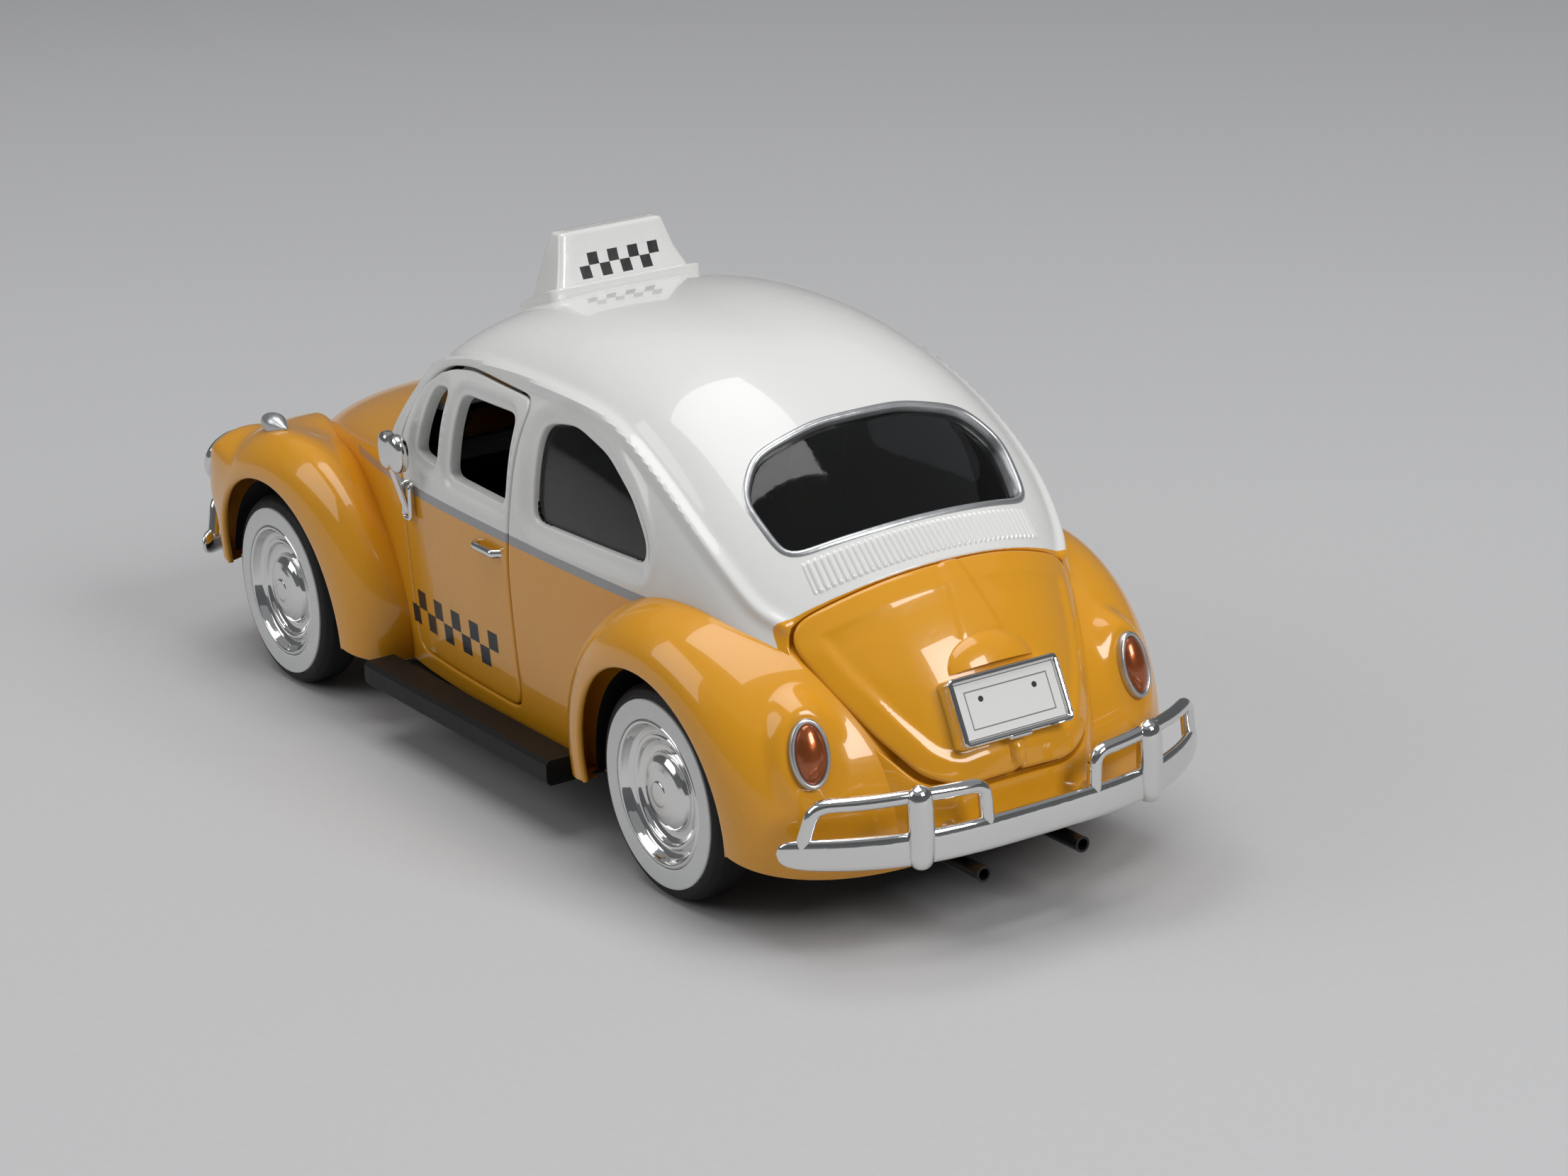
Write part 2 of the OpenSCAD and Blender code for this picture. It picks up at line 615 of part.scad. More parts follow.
// Door handle: a bar on two short posts
handle_shares = [-0.030, -0.088, 0.515];
handle_d = 1.1;
handle_stand = 0.9;
handle_post_d = 0.9;
module handle() {
    z = handle_shares[2] * roof_h;
    x0 = along(handle_shares[0]);
    x1 = along(handle_shares[1]);
    y = skin_y(x1, z) + handle_stand;
    translate([x1, y, z]) rotate([0, 90, 0]) cylinder(d = handle_d, h = x0 - x1);
    translate([x1, y, z]) sphere(d = handle_d);
    translate([x0, y, z]) sphere(d = handle_d);
    for (x = [x1 + handle_d, x0 - handle_d])
        translate([x, skin_y(x, z) + pane_gap, z]) rotate([-90, 0, 0])
            cylinder(d = handle_post_d, h = y - skin_y(x, z) - pane_gap);
}
module door_handle_left() { color(chrome) handle(); }
module door_handle_right() { color(chrome) mirror([0, 1, 0]) handle(); }

// Door mirror: a foot on the door, an upright arm and a round-cornered head
mirror_share = 0.160;
mirror_x = along(mirror_share);
mirror_foot = [2.6, 1, 5];
mirror_foot_z_share = 0.53;
mirror_arm_d = 1.1;
mirror_head_z_share = 0.655;
mirror_head = [2.2, 3.4, 5.4];
mirror_head_r = 1;
mirror_reach = 1.6;
module door_mirror_left() {
    foot_z = mirror_foot_z_share * roof_h;
    head_z = mirror_head_z_share * roof_h;
    y0 = skin_y(mirror_x, foot_z) + pane_gap;
    y1 = y0 + mirror_reach;
    color(chrome) {
        translate([mirror_x - mirror_foot[0] / 2, y0, foot_z - mirror_foot[2] / 2]) cube(mirror_foot);
        translate([mirror_x, y1, foot_z]) cylinder(d = mirror_arm_d, h = head_z - foot_z);
        translate([mirror_x, y0, foot_z]) rotate([-90, 0, 0]) cylinder(d = mirror_arm_d, h = y1 - y0);
        translate([mirror_x, y1, foot_z]) sphere(d = mirror_arm_d);
        translate([mirror_x, y1 + mirror_reach / 2, head_z]) hull()
            for (i = [-1, 1]) for (j = [-1, 1]) for (k = [-1, 1])
                translate([i * (mirror_head[0] / 2 - mirror_head_r),
                    j * (mirror_head[1] / 2 - mirror_head_r), k * (mirror_head[2] / 2 - mirror_head_r)])
                    sphere(mirror_head_r, $fn = 16);
    }
}

// Engine lid: a raised panel of the tail with a lamp cowl and a latch
cowl_z_share = 0.520;
cowl_r = 5.6;
cowl_proud = 1.4;
latch_z_share = 0.325;
latch_d = 1.2;
latch_w = 2.4;
module engine_lid() {
    color(yellow) union() {
        intersection() {
            difference() {
                hull_form(-lid_raise);
                hull_form(lid_t, true);
            }
            tail_prism() rounded(tail_outline(lid_shares), lid_corner_r);
        }
        lid_boss(cowl_z_share, cowl_r, cowl_proud);
        lid_boss(latch_z_share, latch_w, latch_d);
    }
}
module lid_boss(z_share, r, proud) {
    z = z_share * roof_h;
    hull() for (k = [-1, 1]) translate([tail_x(z), k * r / 2, z]) sphere(proud, $fn = 20);
}
module lid_hinge_arms() {
    y_far = lid_arm_y + lid_arm_t;
    x_top = along(lid_arm_shares[0]);
    x_low = along(lid_arm_shares[1]);
    z_top = skin_z(x_top, y_far, lid_t) - lid_seat;
    z_low = skin_z(x_low, y_far, lid_t) - lid_seat;
    neck_z = lid_axis_z - lid_neck_drop_share * roof_h;
    color(yellow) both() difference() {
        union() {
            translate([0, y_far, 0]) rotate([90, 0, 0]) linear_extrude(lid_arm_t) polygon([
                [lid_axis_x + lid_lug_r, lid_axis_z], [lid_axis_x - lid_arm_back, lid_axis_z],
                [lid_axis_x - lid_arm_back, neck_z + lid_lug_r], [x_top + lid_lug_r, neck_z + lid_lug_r],
                [x_top, z_top], [x_low, z_low], [x_low + lid_lug_r, neck_z - lid_lug_r],
                [lid_axis_x + lid_lug_r, neck_z - lid_lug_r]]);
            translate([lid_axis_x, lid_arm_y, lid_axis_z]) rotate([-90, 0, 0])
                cylinder(r = lid_lug_r, h = lid_arm_t);
        }
        translate([lid_axis_x, 0, lid_axis_z]) rotate([-90, 0, 0])
            cylinder(d = lid_pin_d + 2 * hinge_play, h = half_w);
    }
}
module lid_hinge_pin() {
    l = lid_lug_y + lid_lug_t;
    color(chrome) translate([lid_axis_x, -l, lid_axis_z]) rotate([-90, 0, 0])
        cylinder(d = lid_pin_d, h = 2 * l);
}

// Number plate in its bright frame, leaning with the lid
plate_z_share = 0.424;
plate_lean = 26;
plate_rim = 0.8;
plate_corner_r = 0.7;
plate_t = 0.5;
frame_t = 1.1;
frame_foot = 6;
function plate_corners(g) = [for (p = [[1, 1], [-1, 1], [-1, -1], [1, -1]])
    [p[0] * (plate_h / 2 + g), p[1] * (plate_w / 2 + g)]];
module at_plate() {
    z = plate_z_share * roof_h;
    translate([tail_x(z) - lid_raise, 0, z]) rotate([0, -90 + plate_lean, 0]) children();
}
module plate_frame() {
    color(chrome) difference() {
        at_plate() translate([0, 0, -frame_foot]) linear_extrude(frame_foot + frame_t)
            rounded(plate_corners(plate_rim), plate_corner_r);
        at_plate() translate([0, 0, frame_t - plate_t]) linear_extrude(frame_t)
            rounded(plate_corners(0), plate_corner_r);
        hull_form(-lid_raise - pane_gap);
    }
}
module number_plate() {
    s = 2 * pane_gap;
    color(white) at_plate() translate([s - plate_h / 2, s - plate_w / 2, frame_t - plate_t + s])
        cube([plate_h - 2 * s, plate_w - 2 * s, plate_t - s]);
}

// Roof sign: a tapered box on a flared foot shaped to the roof
sign_share = 0.046;
sign_x = along(sign_share);
sign_foot_h = 1.4;
sign_top_shares = [0.30, 0.68];
sign_waist_shares = [0.80, 0.86];
sign_corner_r = 1;
module roof_sign() {
    crown_z = skin_z(sign_x, 0);
    foot_z = skin_z(sign_x + sign_d / 2, sign_l / 2) - sign_foot_h;
    foot = [for (p = [[1, 1], [-1, 1], [-1, -1], [1, -1]]) [p[0] * sign_d / 2, p[1] * sign_l / 2]];
    waist = [for (p = foot) [p[0] * sign_waist_shares[0], p[1] * sign_waist_shares[1]]];
    color(white) difference() {
        union() {
            translate([sign_x, 0, foot_z]) linear_extrude(crown_z + sign_foot_h / 2 - foot_z)
                rounded(foot, sign_corner_r);
            translate([sign_x, 0, foot_z]) linear_extrude(crown_z + sign_foot_h - foot_z)
                rounded(waist, sign_corner_r);
            hull() {
                sign_block(sign_d * sign_waist_shares[0] - sign_corner_r,
                    sign_l * sign_waist_shares[1] - sign_corner_r, foot_z, crown_z + sign_foot_h);
                sign_block(sign_d * sign_top_shares[0], sign_l * sign_top_shares[1],
                    crown_z + sign_foot_h, crown_z + sign_h);
            }
        }
        hull_form(-pane_gap);
    }
}
module sign_block(d, l, z0, z1) {
    translate([sign_x - d / 2, -l / 2, z0]) cube([d, l, z1 - z0]);
}

// Lights
rim_t = 0.9;
lens_rise = 1.3;
rim_w = 0.7;
module tail_rim() {
    at_tail_light() scale([tail_light_h / tail_light_w, 1, 1]) rotate_extrude($fn = 28)
        translate([tail_light_w / 2 - rim_w, pane_gap]) square([rim_w, rim_t]);
}
module tail_light_rim_left() { color(chrome) tail_rim(); }
module tail_light_rim_right() { color(chrome) mirror([0, 1, 0]) tail_rim(); }
module tail_lens() {
    r = tail_light_w / 2 - rim_w - pane_gap;
    at_tail_light() translate([0, 0, pane_gap]) scale([tail_light_h / tail_light_w, 1, 1]) {
        cylinder(r = r, h = rim_t / 2, $fn = 28);
        intersection() {
            translate([0, 0, rim_t / 2]) scale([1, 1, lens_rise / r]) sphere(r, $fn = 28);
            cylinder(r = tail_light_w, h = tail_light_w, $fn = 28);
        }
    }
}
module tail_light_lens_left() { color(amber) tail_lens(); }
module tail_light_lens_right() { color(amber) mirror([0, 1, 0]) tail_lens(); }
module headlight_rim() {
    at_headlight() rotate_extrude() translate([headlight_d / 2 - rim_w, pane_gap]) square([rim_w, rim_t]);
}
module headlight_rim_left() { color(chrome) headlight_rim(); }
module headlight_rim_right() { color(chrome) mirror([0, 1, 0]) headlight_rim(); }
module headlight_lens() {
    r = headlight_d / 2 - rim_w - pane_gap;
    dome_r = (r * r + lens_rise * lens_rise) / (2 * lens_rise);
    at_headlight() translate([0, 0, pane_gap]) {
        cylinder(r = r, h = rim_t);
        intersection() {
            translate([0, 0, rim_t + lens_rise - dome_r]) sphere(dome_r);
            translate([0, 0, rim_t / 2]) cylinder(r = r, h = headlight_d);
        }
    }
}
module headlight_lens_left() { color(clear_tint) headlight_lens(); }
module headlight_lens_right() { color(clear_tint) mirror([0, 1, 0]) headlight_lens(); }
// Turn signal: a teardrop seated on the fender
signal_l = 8;
signal_r = 1.5;
signal_tail_share = 0.35;
signal_steps = 8;
function signal_size(f) = signal_r * (signal_tail_share + (1 - signal_tail_share) * sin(90 * f));
module turn_signal() {
    difference() {
        translate(turn_signal_at) for (k = [0:signal_steps - 1]) hull() for (m = [k, k + 1])
            let (f = m / signal_steps)
            translate([(f - half_share) * (signal_l - 2 * signal_r), 0, 0])
                sphere(signal_size(f), $fn = 12);
        fender(front_fender_shares, front_axle_x, pane_gap);
        wheel_cup(front_axle_x);
    }
}
module turn_signal_left() { color(chrome) turn_signal(); }
module turn_signal_right() { color(chrome) mirror([0, 1, 0]) turn_signal(); }

// Bumpers: a curved blade, two bullet guards and two rails
blade_t = 1.4;
blade_z_share = 0.23;
blade_end_y_share = 0.94;
blade_bows = [10.2, 7];
blade_bend = 3.2;
guard_r = 1.6;
guard_y_share = 0.51;
guard_h = 10.2;
guard_proud = 1.2;
rail_in_share = 0.25;
rail_out_share = 0.83;
rail_rise = 4;
rail_step = 1.4;
stay_y_share = 0.30;
stay_l = 6;
stay_reach = 24;
stay_r = 1;
stay_steps = 3;
blade_stations = 16;
// Front face of a blade across the car, with the ends swept back
function blade_x(y, bow) = -bow * pow(abs(y) / (fender_y * blade_end_y_share), blade_bend);
module bumper(face, bow) {
    blade_z = blade_z_share * roof_h;
    end_y = fender_y * blade_end_y_share;
    front = face - guard_proud;
    skin([for (k = [-blade_stations / 2:blade_stations / 2])
        let (y = -2 * k * end_y / blade_stations,
            h = blade_h / 2 * (1 - pow(abs(y) / end_y, 8) / 2))
        [for (a = [0:36:324]) [front + blade_x(y, bow) - blade_t / 2 * (1 - cos(a)), y,
            blade_z + h * sign(sin(a)) * pow(abs(sin(a)), half_share)]]]);
    for (side = [-1, 1]) {
        hull() for (z = [guard_r, guard_h - guard_r])
            translate([face - guard_r, side * guard_y_share * fender_y,
                blade_z - blade_h / 2 + z - shell_t / 2]) sphere(guard_r, $fn = 12);
        tube(rail_path(front, side, blade_z, bow), rail_d / 2);
        for (m = [0:stay_steps - 1]) hull() for (f = [m, m + 1] / stay_steps)
            translate([front - f * stay_l - blade_t / 2, side * stay_y_share * fender_y,
                blade_z]) sphere(stay_r, $fn = 8);
    }
}
// Holes in the nose and tail for the bumper stays
module stay_holes() {
    for (side = [-1, 1]) translate([-overall_l / 2, side * stay_y_share * fender_y,
        blade_z_share * roof_h]) rotate([0, 90, 0])
        cylinder(r = stay_r + pane_gap, h = overall_l, $fn = 12);
}
function rail_path(face, side, z, bow) =
    let (y0 = rail_in_share * fender_y, y1 = rail_out_share * fender_y,
        top = z + blade_h / 2 + rail_rise, s = rail_step)
    [for (p = [[y0, z], [y0, top - s], [y0 + s / 3, top - s / 3], [y0 + s, top],
        [(2 * y0 + y1) / 3, top], [(y0 + 2 * y1) / 3, top], [y1 - s, top],
        [y1 - s / 3, top - s / 3], [y1, top - s], [y1, z]])
        [face - blade_t / 2 + blade_x(p[0], bow), side * p[0], p[1]]];
// Round bar along a path
bar_sides = 8;
module tube(path, r) {
    n = len(path);
    skin([for (i = [0:n - 1])
        let (t = path[min(i + 1, n - 1)] - path[max(i - 1, 0)],
            u = cross([1, 0, 0], t) / norm(cross([1, 0, 0], t)), v = cross(t, u) / norm(t))
        [for (j = [0:bar_sides - 1]) let (a = 360 * j / bar_sides)
            path[i] + r * (cos(a) * u + sin(a) * v)]]);
}
module front_bumper() { color(chrome) bumper(overall_l / 2, blade_bows[1]); }
module rear_bumper() { color(chrome) rotate([0, 0, 180]) bumper(overall_l / 2, blade_bows[0]); }

// Base plate with running boards and axle blocks
// Half of the outline: steps from each axle in shares of the arch radius, across in shares of
// the cabin's half width, and drawn in between the wheel wells
rear_base_shares = [[-1.585, 0.30], [-1.22, 0.66], [1.22, 0.84]];
front_base_shares = [[-1.585, 0.84], [0.976, 0.50], [1.22, 0.30]];
rear_waist_share = 0.854;
front_waist_share = -1.10;
rear_board_share = 1.451;
front_board_share = -1.695;
board_rise = 1.7;
board_lip = 0.5;
block_l = 7;
block_top = 4;
block_sets = [0.8, 4.2];
board_in = half_w + door_gap / 2;
board_set_in = 0.96;
module base_plate() {
    top_z = base_z + base_t;
    out_y = fender_y - board_set_in;
    board_x0 = rear_axle_x + rear_board_share * arch_r;
    board_x1 = front_axle_x + front_board_share * arch_r;
    rear = [for (p = rear_base_shares) [rear_axle_x + p[0] * arch_r, p[1] * half_w]];
    front = [for (p = front_base_shares) [front_axle_x + p[0] * arch_r, p[1] * half_w]];
    outline = [rear[0], rear[1], [rear_axle_x + rear_waist_share * arch_r, between_wells], rear[2],
        front[0], [front_axle_x + front_waist_share * arch_r, between_wells], front[1], front[2]];
    color(black) difference() {
        union() {
            translate([0, 0, base_z]) linear_extrude(base_t) polygon(concat(outline,
                [for (k = [len(outline) - 1:-1:0]) [outline[k][0], -outline[k][1]]]));
            both() translate([board_x0, 0, 0]) rotate([90, 0, 90])
                linear_extrude(board_x1 - board_x0) polygon([
                    [half_w / 2, base_z], [out_y - board_lip, base_z], [out_y, base_z + board_lip],
                    [out_y, top_z + board_rise - board_lip], [out_y - board_lip, top_z + board_rise],
                    [board_in, top_z + board_rise], [board_in, top_z], [half_w / 2, top_z]]);
            for (k = [0, 1]) let (x = [rear_axle_x, front_axle_x][k], y = between_wells - block_sets[k])
                translate([x - block_l / 2, -y, base_z])
                    cube([block_l, 2 * y, axle_z - base_z + block_top]);
            translate([mid_x - pad_l / 2, -pad_w / 2, base_z - pad_t]) cube([pad_l, pad_w, pad_t + base_t]);
        }
        for (x = [rear_axle_x, front_axle_x]) translate([x, -half_w, axle_z]) rotate([-90, 0, 0])
            cylinder(d = axle_d + 2 * axle_play, h = cabin_w);
        both() for (s = screw_shares) translate(concat(screw_place(s), base_z - over)) {
            cylinder(d = screw_d + screw_play, h = base_t + 2 * over);
            cylinder(d = screw_head_d + screw_play, h = over + screw_head_h);
        }
    }
}
module base_screws() {
    color(chrome) both() for (s = screw_shares) translate(concat(screw_place(s), base_z)) {
        cylinder(d = screw_head_d, h = screw_head_h - screw_play);
        cylinder(d = screw_d, h = screw_l);
    }
}

// Interior
tub_front_share = 0.20;
tub_set = 0.75;
tub_x0 = rear_axle_x + well_r + shell_t + tub_set;
tub_x1 = along(tub_front_share);
tub_w_share = 0.80;
tub_t = 1.2;
tub_side_h = 4;
shelf_z_share = 0.585;
shelf_x_share = -0.585;
tub_gap = 0.3;
module interior_tub() {
    x0 = tub_x0;
    x1 = tub_x1;
    y = tub_w_share * half_w;
    z = base_z + base_t + tub_gap;
    shelf_z = shelf_z_share * roof_h;
    shelf_x = along(shelf_x_share);
    shelf_y = between_wells;
    color(black) {
        translate([x0, -y, z]) cube([x1 - x0, 2 * y, tub_t]);
        for (side = [-y, y - tub_t]) translate([x0, side, z]) cube([x1 - x0, tub_t, tub_side_h]);
        translate([x0, -y, z]) cube([tub_t, 2 * y, shelf_z - z]);
        translate([shelf_x, -shelf_y, shelf_z - tub_t]) cube([x0 - shelf_x + tub_t, 2 * shelf_y, tub_t]);
        translate([x1 - tub_t, -y, z]) cube([tub_t, 2 * y, dash_z_shares[0] * roof_h - z]);
    }
}
// Seats: cushion and back as hard mouldings with round edges
seat_y_share = 0.40;
seat_r = 2;
seat_leg = 2.4;
seat_roll_share = 0.45;
seat_roll_steps = 6;
front_seat_w_share = 0.323;
front_seat_share = -0.03;
front_cushion = 15;
front_back_h = 30;
front_lean = 4;
rear_seat_w_share = 0.685;
rear_seat_set = 7;
rear_cushion = 13;
rear_back_h = 25;
rear_lean = 3;
module seat_slab(a, b, w) {
    hull() for (p = [a, b]) for (k = [-1, 1])
        translate([p[0], k * (w / 2 - seat_r), p[1]]) sphere(seat_r, $fn = 12);
}
module seat(x, cushion, back_h, w, lean) {
    z = base_z + base_t + tub_gap + tub_t + pane_gap;
    low = z + seat_leg + seat_r;
    seat_slab([x + cushion - seat_r, low + seat_r / 2], [x + seat_r, low], w);
    seat_slab([x, low], [x - lean, z + back_h - seat_r], w);
    translate([x, seat_r - w / 2, z]) cube([cushion - 2 * seat_r, w - 2 * seat_r, seat_leg + seat_r]);
    for (m = [0:seat_roll_steps - 1]) hull() for (f = [m, m + 1] / seat_roll_steps)
        translate([x - lean * seat_roll_share + seat_r / 4, (f - half_share) * (w - 4 * seat_r),
            z + back_h * seat_roll_share]) sphere(seat_r, $fn = 10);
}
module front_seat(side) {
    translate([0, side * seat_y_share * half_w, 0])
        seat(along(front_seat_share), front_cushion, front_back_h, front_seat_w_share * cabin_w,
            front_lean);
}
module front_seat_left() { color(black) front_seat(1); }
module front_seat_right() { color(black) front_seat(-1); }
module rear_seat() {
    color(black) seat(tub_x0 + rear_seat_set, rear_cushion, rear_back_h, rear_seat_w_share * cabin_w,
        rear_lean);
}
dash_z_shares = [0.52, 0.62];
dash_d = 5;
dash_w_share = 0.83;
module dashboard() {
    z0 = dash_z_shares[0] * roof_h;
    x1 = tub_x1;
    y = dash_w_share * half_w;
    color(black) hull() {
        translate([x1 - tub_t, -y, z0 + tub_gap])
            cube([tub_t, 2 * y, dash_z_shares[1] * roof_h - z0 - tub_gap]);
        translate([x1 - dash_d, -y, z0 + dash_d / 2]) cube([tub_t, 2 * y, dash_d / 2]);
    }
}
steer_r = 5;
steer_bar_r = 0.55;
steer_lean = 62;
steer_back = 9.5;
steer_drop = 1.3;
column_l = 5.2;
spoke_share = 0.8;
boss_share = 2;
module steering_wheel() {
    color(black) translate([tub_x1 - steer_back, seat_y_share * half_w,
        dash_z_shares[0] * roof_h - steer_drop])
        rotate([0, steer_lean, 0]) {
            rotate_extrude() translate([steer_r, 0]) circle(steer_bar_r);
            for (a = [0, 90]) rotate([0, 0, a]) translate([-steer_r, 0, 0]) rotate([0, 90, 0])
                cylinder(r = steer_bar_r * spoke_share, h = 2 * steer_r);
            cylinder(r = steer_bar_r * boss_share, h = column_l);
        }
}

// Engine: block, fan shroud, generator with its pulleys, air cleaner
engine_x_share = -0.635;
engine_l = 14;
engine_w_share = 0.418;
engine_w = engine_w_share * cabin_w;
engine_h_share = 0.11;
engine_h = engine_h_share * roof_h;
shroud_t = 4.5;
shroud_r_share = 0.104;
shroud_r = shroud_r_share * roof_h;
generator_r = 2.8;
generator_l = 5;
pulley_r = 3.6;
pulley_t = 1;
cleaner_r = 3.4;
cleaner_h = 4;
engine_z = base_z + base_t + tub_gap;
module engine_block() {
    color("#4a4a4c") translate([along(engine_x_share) - engine_l, 0, engine_z]) {
        translate([0, -engine_w / 4, 0]) cube([engine_l, engine_w / 2, engine_h]);
        translate([2 * pulley_t, -engine_w / 2, engine_h / 5])
            cube([engine_l / 2, engine_w, engine_h / 2]);
    }
}
module fan_shroud() {
    color(black) translate([along(engine_x_share) - shroud_t, 0, engine_z + engine_h + pane_gap])
        rotate([90, 0, 90]) linear_extrude(shroud_t) union() {
            translate([-shroud_r, 0]) square([2 * shroud_r, shroud_r]);
            translate([0, shroud_r]) circle(shroud_r);
        }
}
module generator() {
    x = along(engine_x_share) - shroud_t - pane_gap;
    color("#5a5a5c") {
        translate([x, 0, engine_z + engine_h + shroud_r]) rotate([0, -90, 0]) {
            cylinder(r = generator_r, h = generator_l);
            translate([0, 0, generator_l]) cylinder(r = pulley_r, h = pulley_t);
        }
        translate([x, -generator_r / 2, engine_z + engine_h + pane_gap]) translate([-generator_l, 0, 0])
            cube([generator_l, generator_r, shroud_r]);
    }
}
module air_cleaner() {
    x = along(engine_x_share) - shroud_t - cleaner_r - door_gap;
    y = generator_r + cleaner_r + 3 * door_gap;
    z = engine_z + engine_h + pane_gap;
    color(black) {
        translate([x, y, z + shroud_r - cleaner_h / 2]) cylinder(r = cleaner_r, h = cleaner_h);
        translate([x, generator_r + door_gap + cleaner_r / 3, z]) cylinder(r = cleaner_r / 3, h = shroud_r);
    }
}
// Twin exhaust pipes from the back edge of the base plate
pipe_r = 1;
pipe_bore_share = 0.7;
pipe_l = 9;
pipe_y_share = 0.27;
pipe_x_share = -0.762;
module exhaust_pipes() {
    color("#3a3a3a") both() translate([along(pipe_x_share), pipe_y_share * half_w, base_z + pipe_r])
        rotate([0, -90, 0]) difference() {
            cylinder(r = pipe_r, h = pipe_l);
            translate([0, 0, pipe_l / 2]) cylinder(r = pipe_r * pipe_bore_share, h = pipe_l);
        }
}

// Wheels: tyre, white ring, bright wheel with its cap, and the axle through both
ring_t = 0.6;
ring_proud = 0.1;
tyre_shoulder_r = 1.6;
rim_lip = 0.5;
wheel_play = 0.02;
hub_r = 2.6;
module tyre(x) {
    r = tyre_d / 2;
    in_r = whitewall_inner_d / 2;
    place_wheel(x) rotate_extrude($fn = 96) difference() {
        union() {
            translate([in_r, tyre_shoulder_r]) square([r - in_r, tyre_w - 2 * tyre_shoulder_r]);
            translate([in_r, 0]) square([r - in_r - tyre_shoulder_r, tyre_w]);
            translate([r - tyre_shoulder_r, tyre_shoulder_r]) circle(tyre_shoulder_r);
            translate([r - tyre_shoulder_r, tyre_w - tyre_shoulder_r]) circle(tyre_shoulder_r);
        }
        translate([in_r - over, tyre_w - ring_t])
            square([over + (whitewall_outer_d - whitewall_inner_d) / 2, over]);
    }
}
module whitewall(x) {
    place_wheel(x) translate([0, 0, tyre_w - ring_t + pane_gap / 4]) rotate_extrude($fn = 96)
        translate([whitewall_inner_d / 2 + wheel_play, 0])
            square([(whitewall_outer_d - whitewall_inner_d) / 2 - 2 * wheel_play, ring_t + ring_proud]);
}
// Bright wheel: barrel, dished face, raised step and domed cap
dish_depth = 1.6;
cap_rise = 1.5;
step_share = 0.76;
barrel_in = 0.6;
module wheel(x) {
    r = whitewall_inner_d / 2 - wheel_play;
    face = tyre_w - ring_t;
    dish = face - dish_depth;
    cap_r = hubcap_d / 2;
    dome_r = (cap_r * cap_r + cap_rise * cap_rise) / (2 * cap_rise);
    place_wheel(x) difference() {
        union() {
            rotate_extrude($fn = 96) polygon([[axle_d / 2 + wheel_play, barrel_in], [hub_r, barrel_in],
                [hub_r, dish - shell_t], [r - shell_t, dish - shell_t], [r - shell_t, barrel_in],
                [r, barrel_in], [r, face + ring_t], [r - rim_lip, face + ring_t + ring_proud],
                [r * step_share + rim_lip, dish + rim_lip], [r * step_share, dish + 2 * rim_lip],
                [cap_r + rim_lip, dish], [axle_d / 2 + wheel_play, dish]]);
            translate([0, 0, dish]) intersection() {
                translate([0, 0, cap_rise - dome_r + rim_lip]) sphere(dome_r, $fn = 64);
                cylinder(r = cap_r, h = dish_depth + cap_rise);
            }
        }
        translate([0, 0, -over]) cylinder(d = axle_d + 2 * wheel_play, h = over + dish);
    }
}
// Wheel frame on the left: axis out along +Y, inner tyre face at the frame's origin
module place_wheel(x) {
    translate([x, tyre_y, axle_z]) rotate([-90, 0, 0]) children();
}
module axle(x) {
    l = tyre_y + tyre_w - ring_t - dish_depth - wheel_play;
    color("silver") translate([x, -l, axle_z]) rotate([-90, 0, 0]) cylinder(d = axle_d, h = 2 * l);
}
module front_axle() { axle(front_axle_x); }
module rear_axle() { axle(rear_axle_x); }
module tyre_front_left() { color(black) tyre(front_axle_x); }
module tyre_rear_left() { color(black) tyre(rear_axle_x); }
module tyre_front_right() { color(black) mirror([0, 1, 0]) tyre(front_axle_x); }
module tyre_rear_right() { color(black) mirror([0, 1, 0]) tyre(rear_axle_x); }
module whitewall_front_left() { color(white) whitewall(front_axle_x); }
module whitewall_rear_left() { color(white) whitewall(rear_axle_x); }
module whitewall_front_right() { color(white) mirror([0, 1, 0]) whitewall(front_axle_x); }
module whitewall_rear_right() { color(white) mirror([0, 1, 0]) whitewall(rear_axle_x); }
module wheel_front_left() { color(chrome) wheel(front_axle_x); }
module wheel_rear_left() { color(chrome) wheel(rear_axle_x); }
module wheel_front_right() { color(chrome) mirror([0, 1, 0]) wheel(front_axle_x); }
module wheel_rear_right() { color(chrome) mirror([0, 1, 0]) wheel(rear_axle_x); }

body_shell();
base_plate();
interior_tub();
front_seat_left();
front_seat_right();
rear_seat();
dashboard();
steering_wheel();
windscreen();
rear_window();
quarter_window_left();
quarter_window_right();
front_bumper();
rear_bumper();
headlight_rim_left();
headlight_rim_right();
headlight_lens_left();
headlight_lens_right();
turn_signal_left();
turn_signal_right();
tail_light_rim_left();
tail_light_rim_right();
tail_light_lens_left();
tail_light_lens_right();
roof_sign();
exhaust_pipes();
engine_block();
fan_shroud();
generator();
air_cleaner();
base_screws();
door_hinge_posts_left();
door_hinge_posts_right();
lid_hinge_pin();
door_left();
door_hinges_left();
door_handle_left();
door_mirror_left();
door_right();
door_hinges_right();
door_handle_right();
engine_lid();
lid_hinge_arms();
plate_frame();
number_plate();
front_axle();
tyre_front_left();
whitewall_front_left();
wheel_front_left();
tyre_front_right();
whitewall_front_right();
wheel_front_right();
rear_axle();
tyre_rear_left();
whitewall_rear_left();
wheel_rear_left();
tyre_rear_right();
whitewall_rear_right();
wheel_rear_right();
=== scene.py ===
# %% [markdown]
# # A toy taxi drawn from formulas
# The part is a small die-cast taxi with a painted body, opening doors and an opening engine lid.
# The packed solids give the places and the sizes. This lesson dresses them: each visible piece is
# a surface worked out with numpy and laid exactly where its solid is, and each finish is a
# material made of nodes.

# %% Load the packed model
import math

import bpy
import numpy as np
from mathutils import Matrix


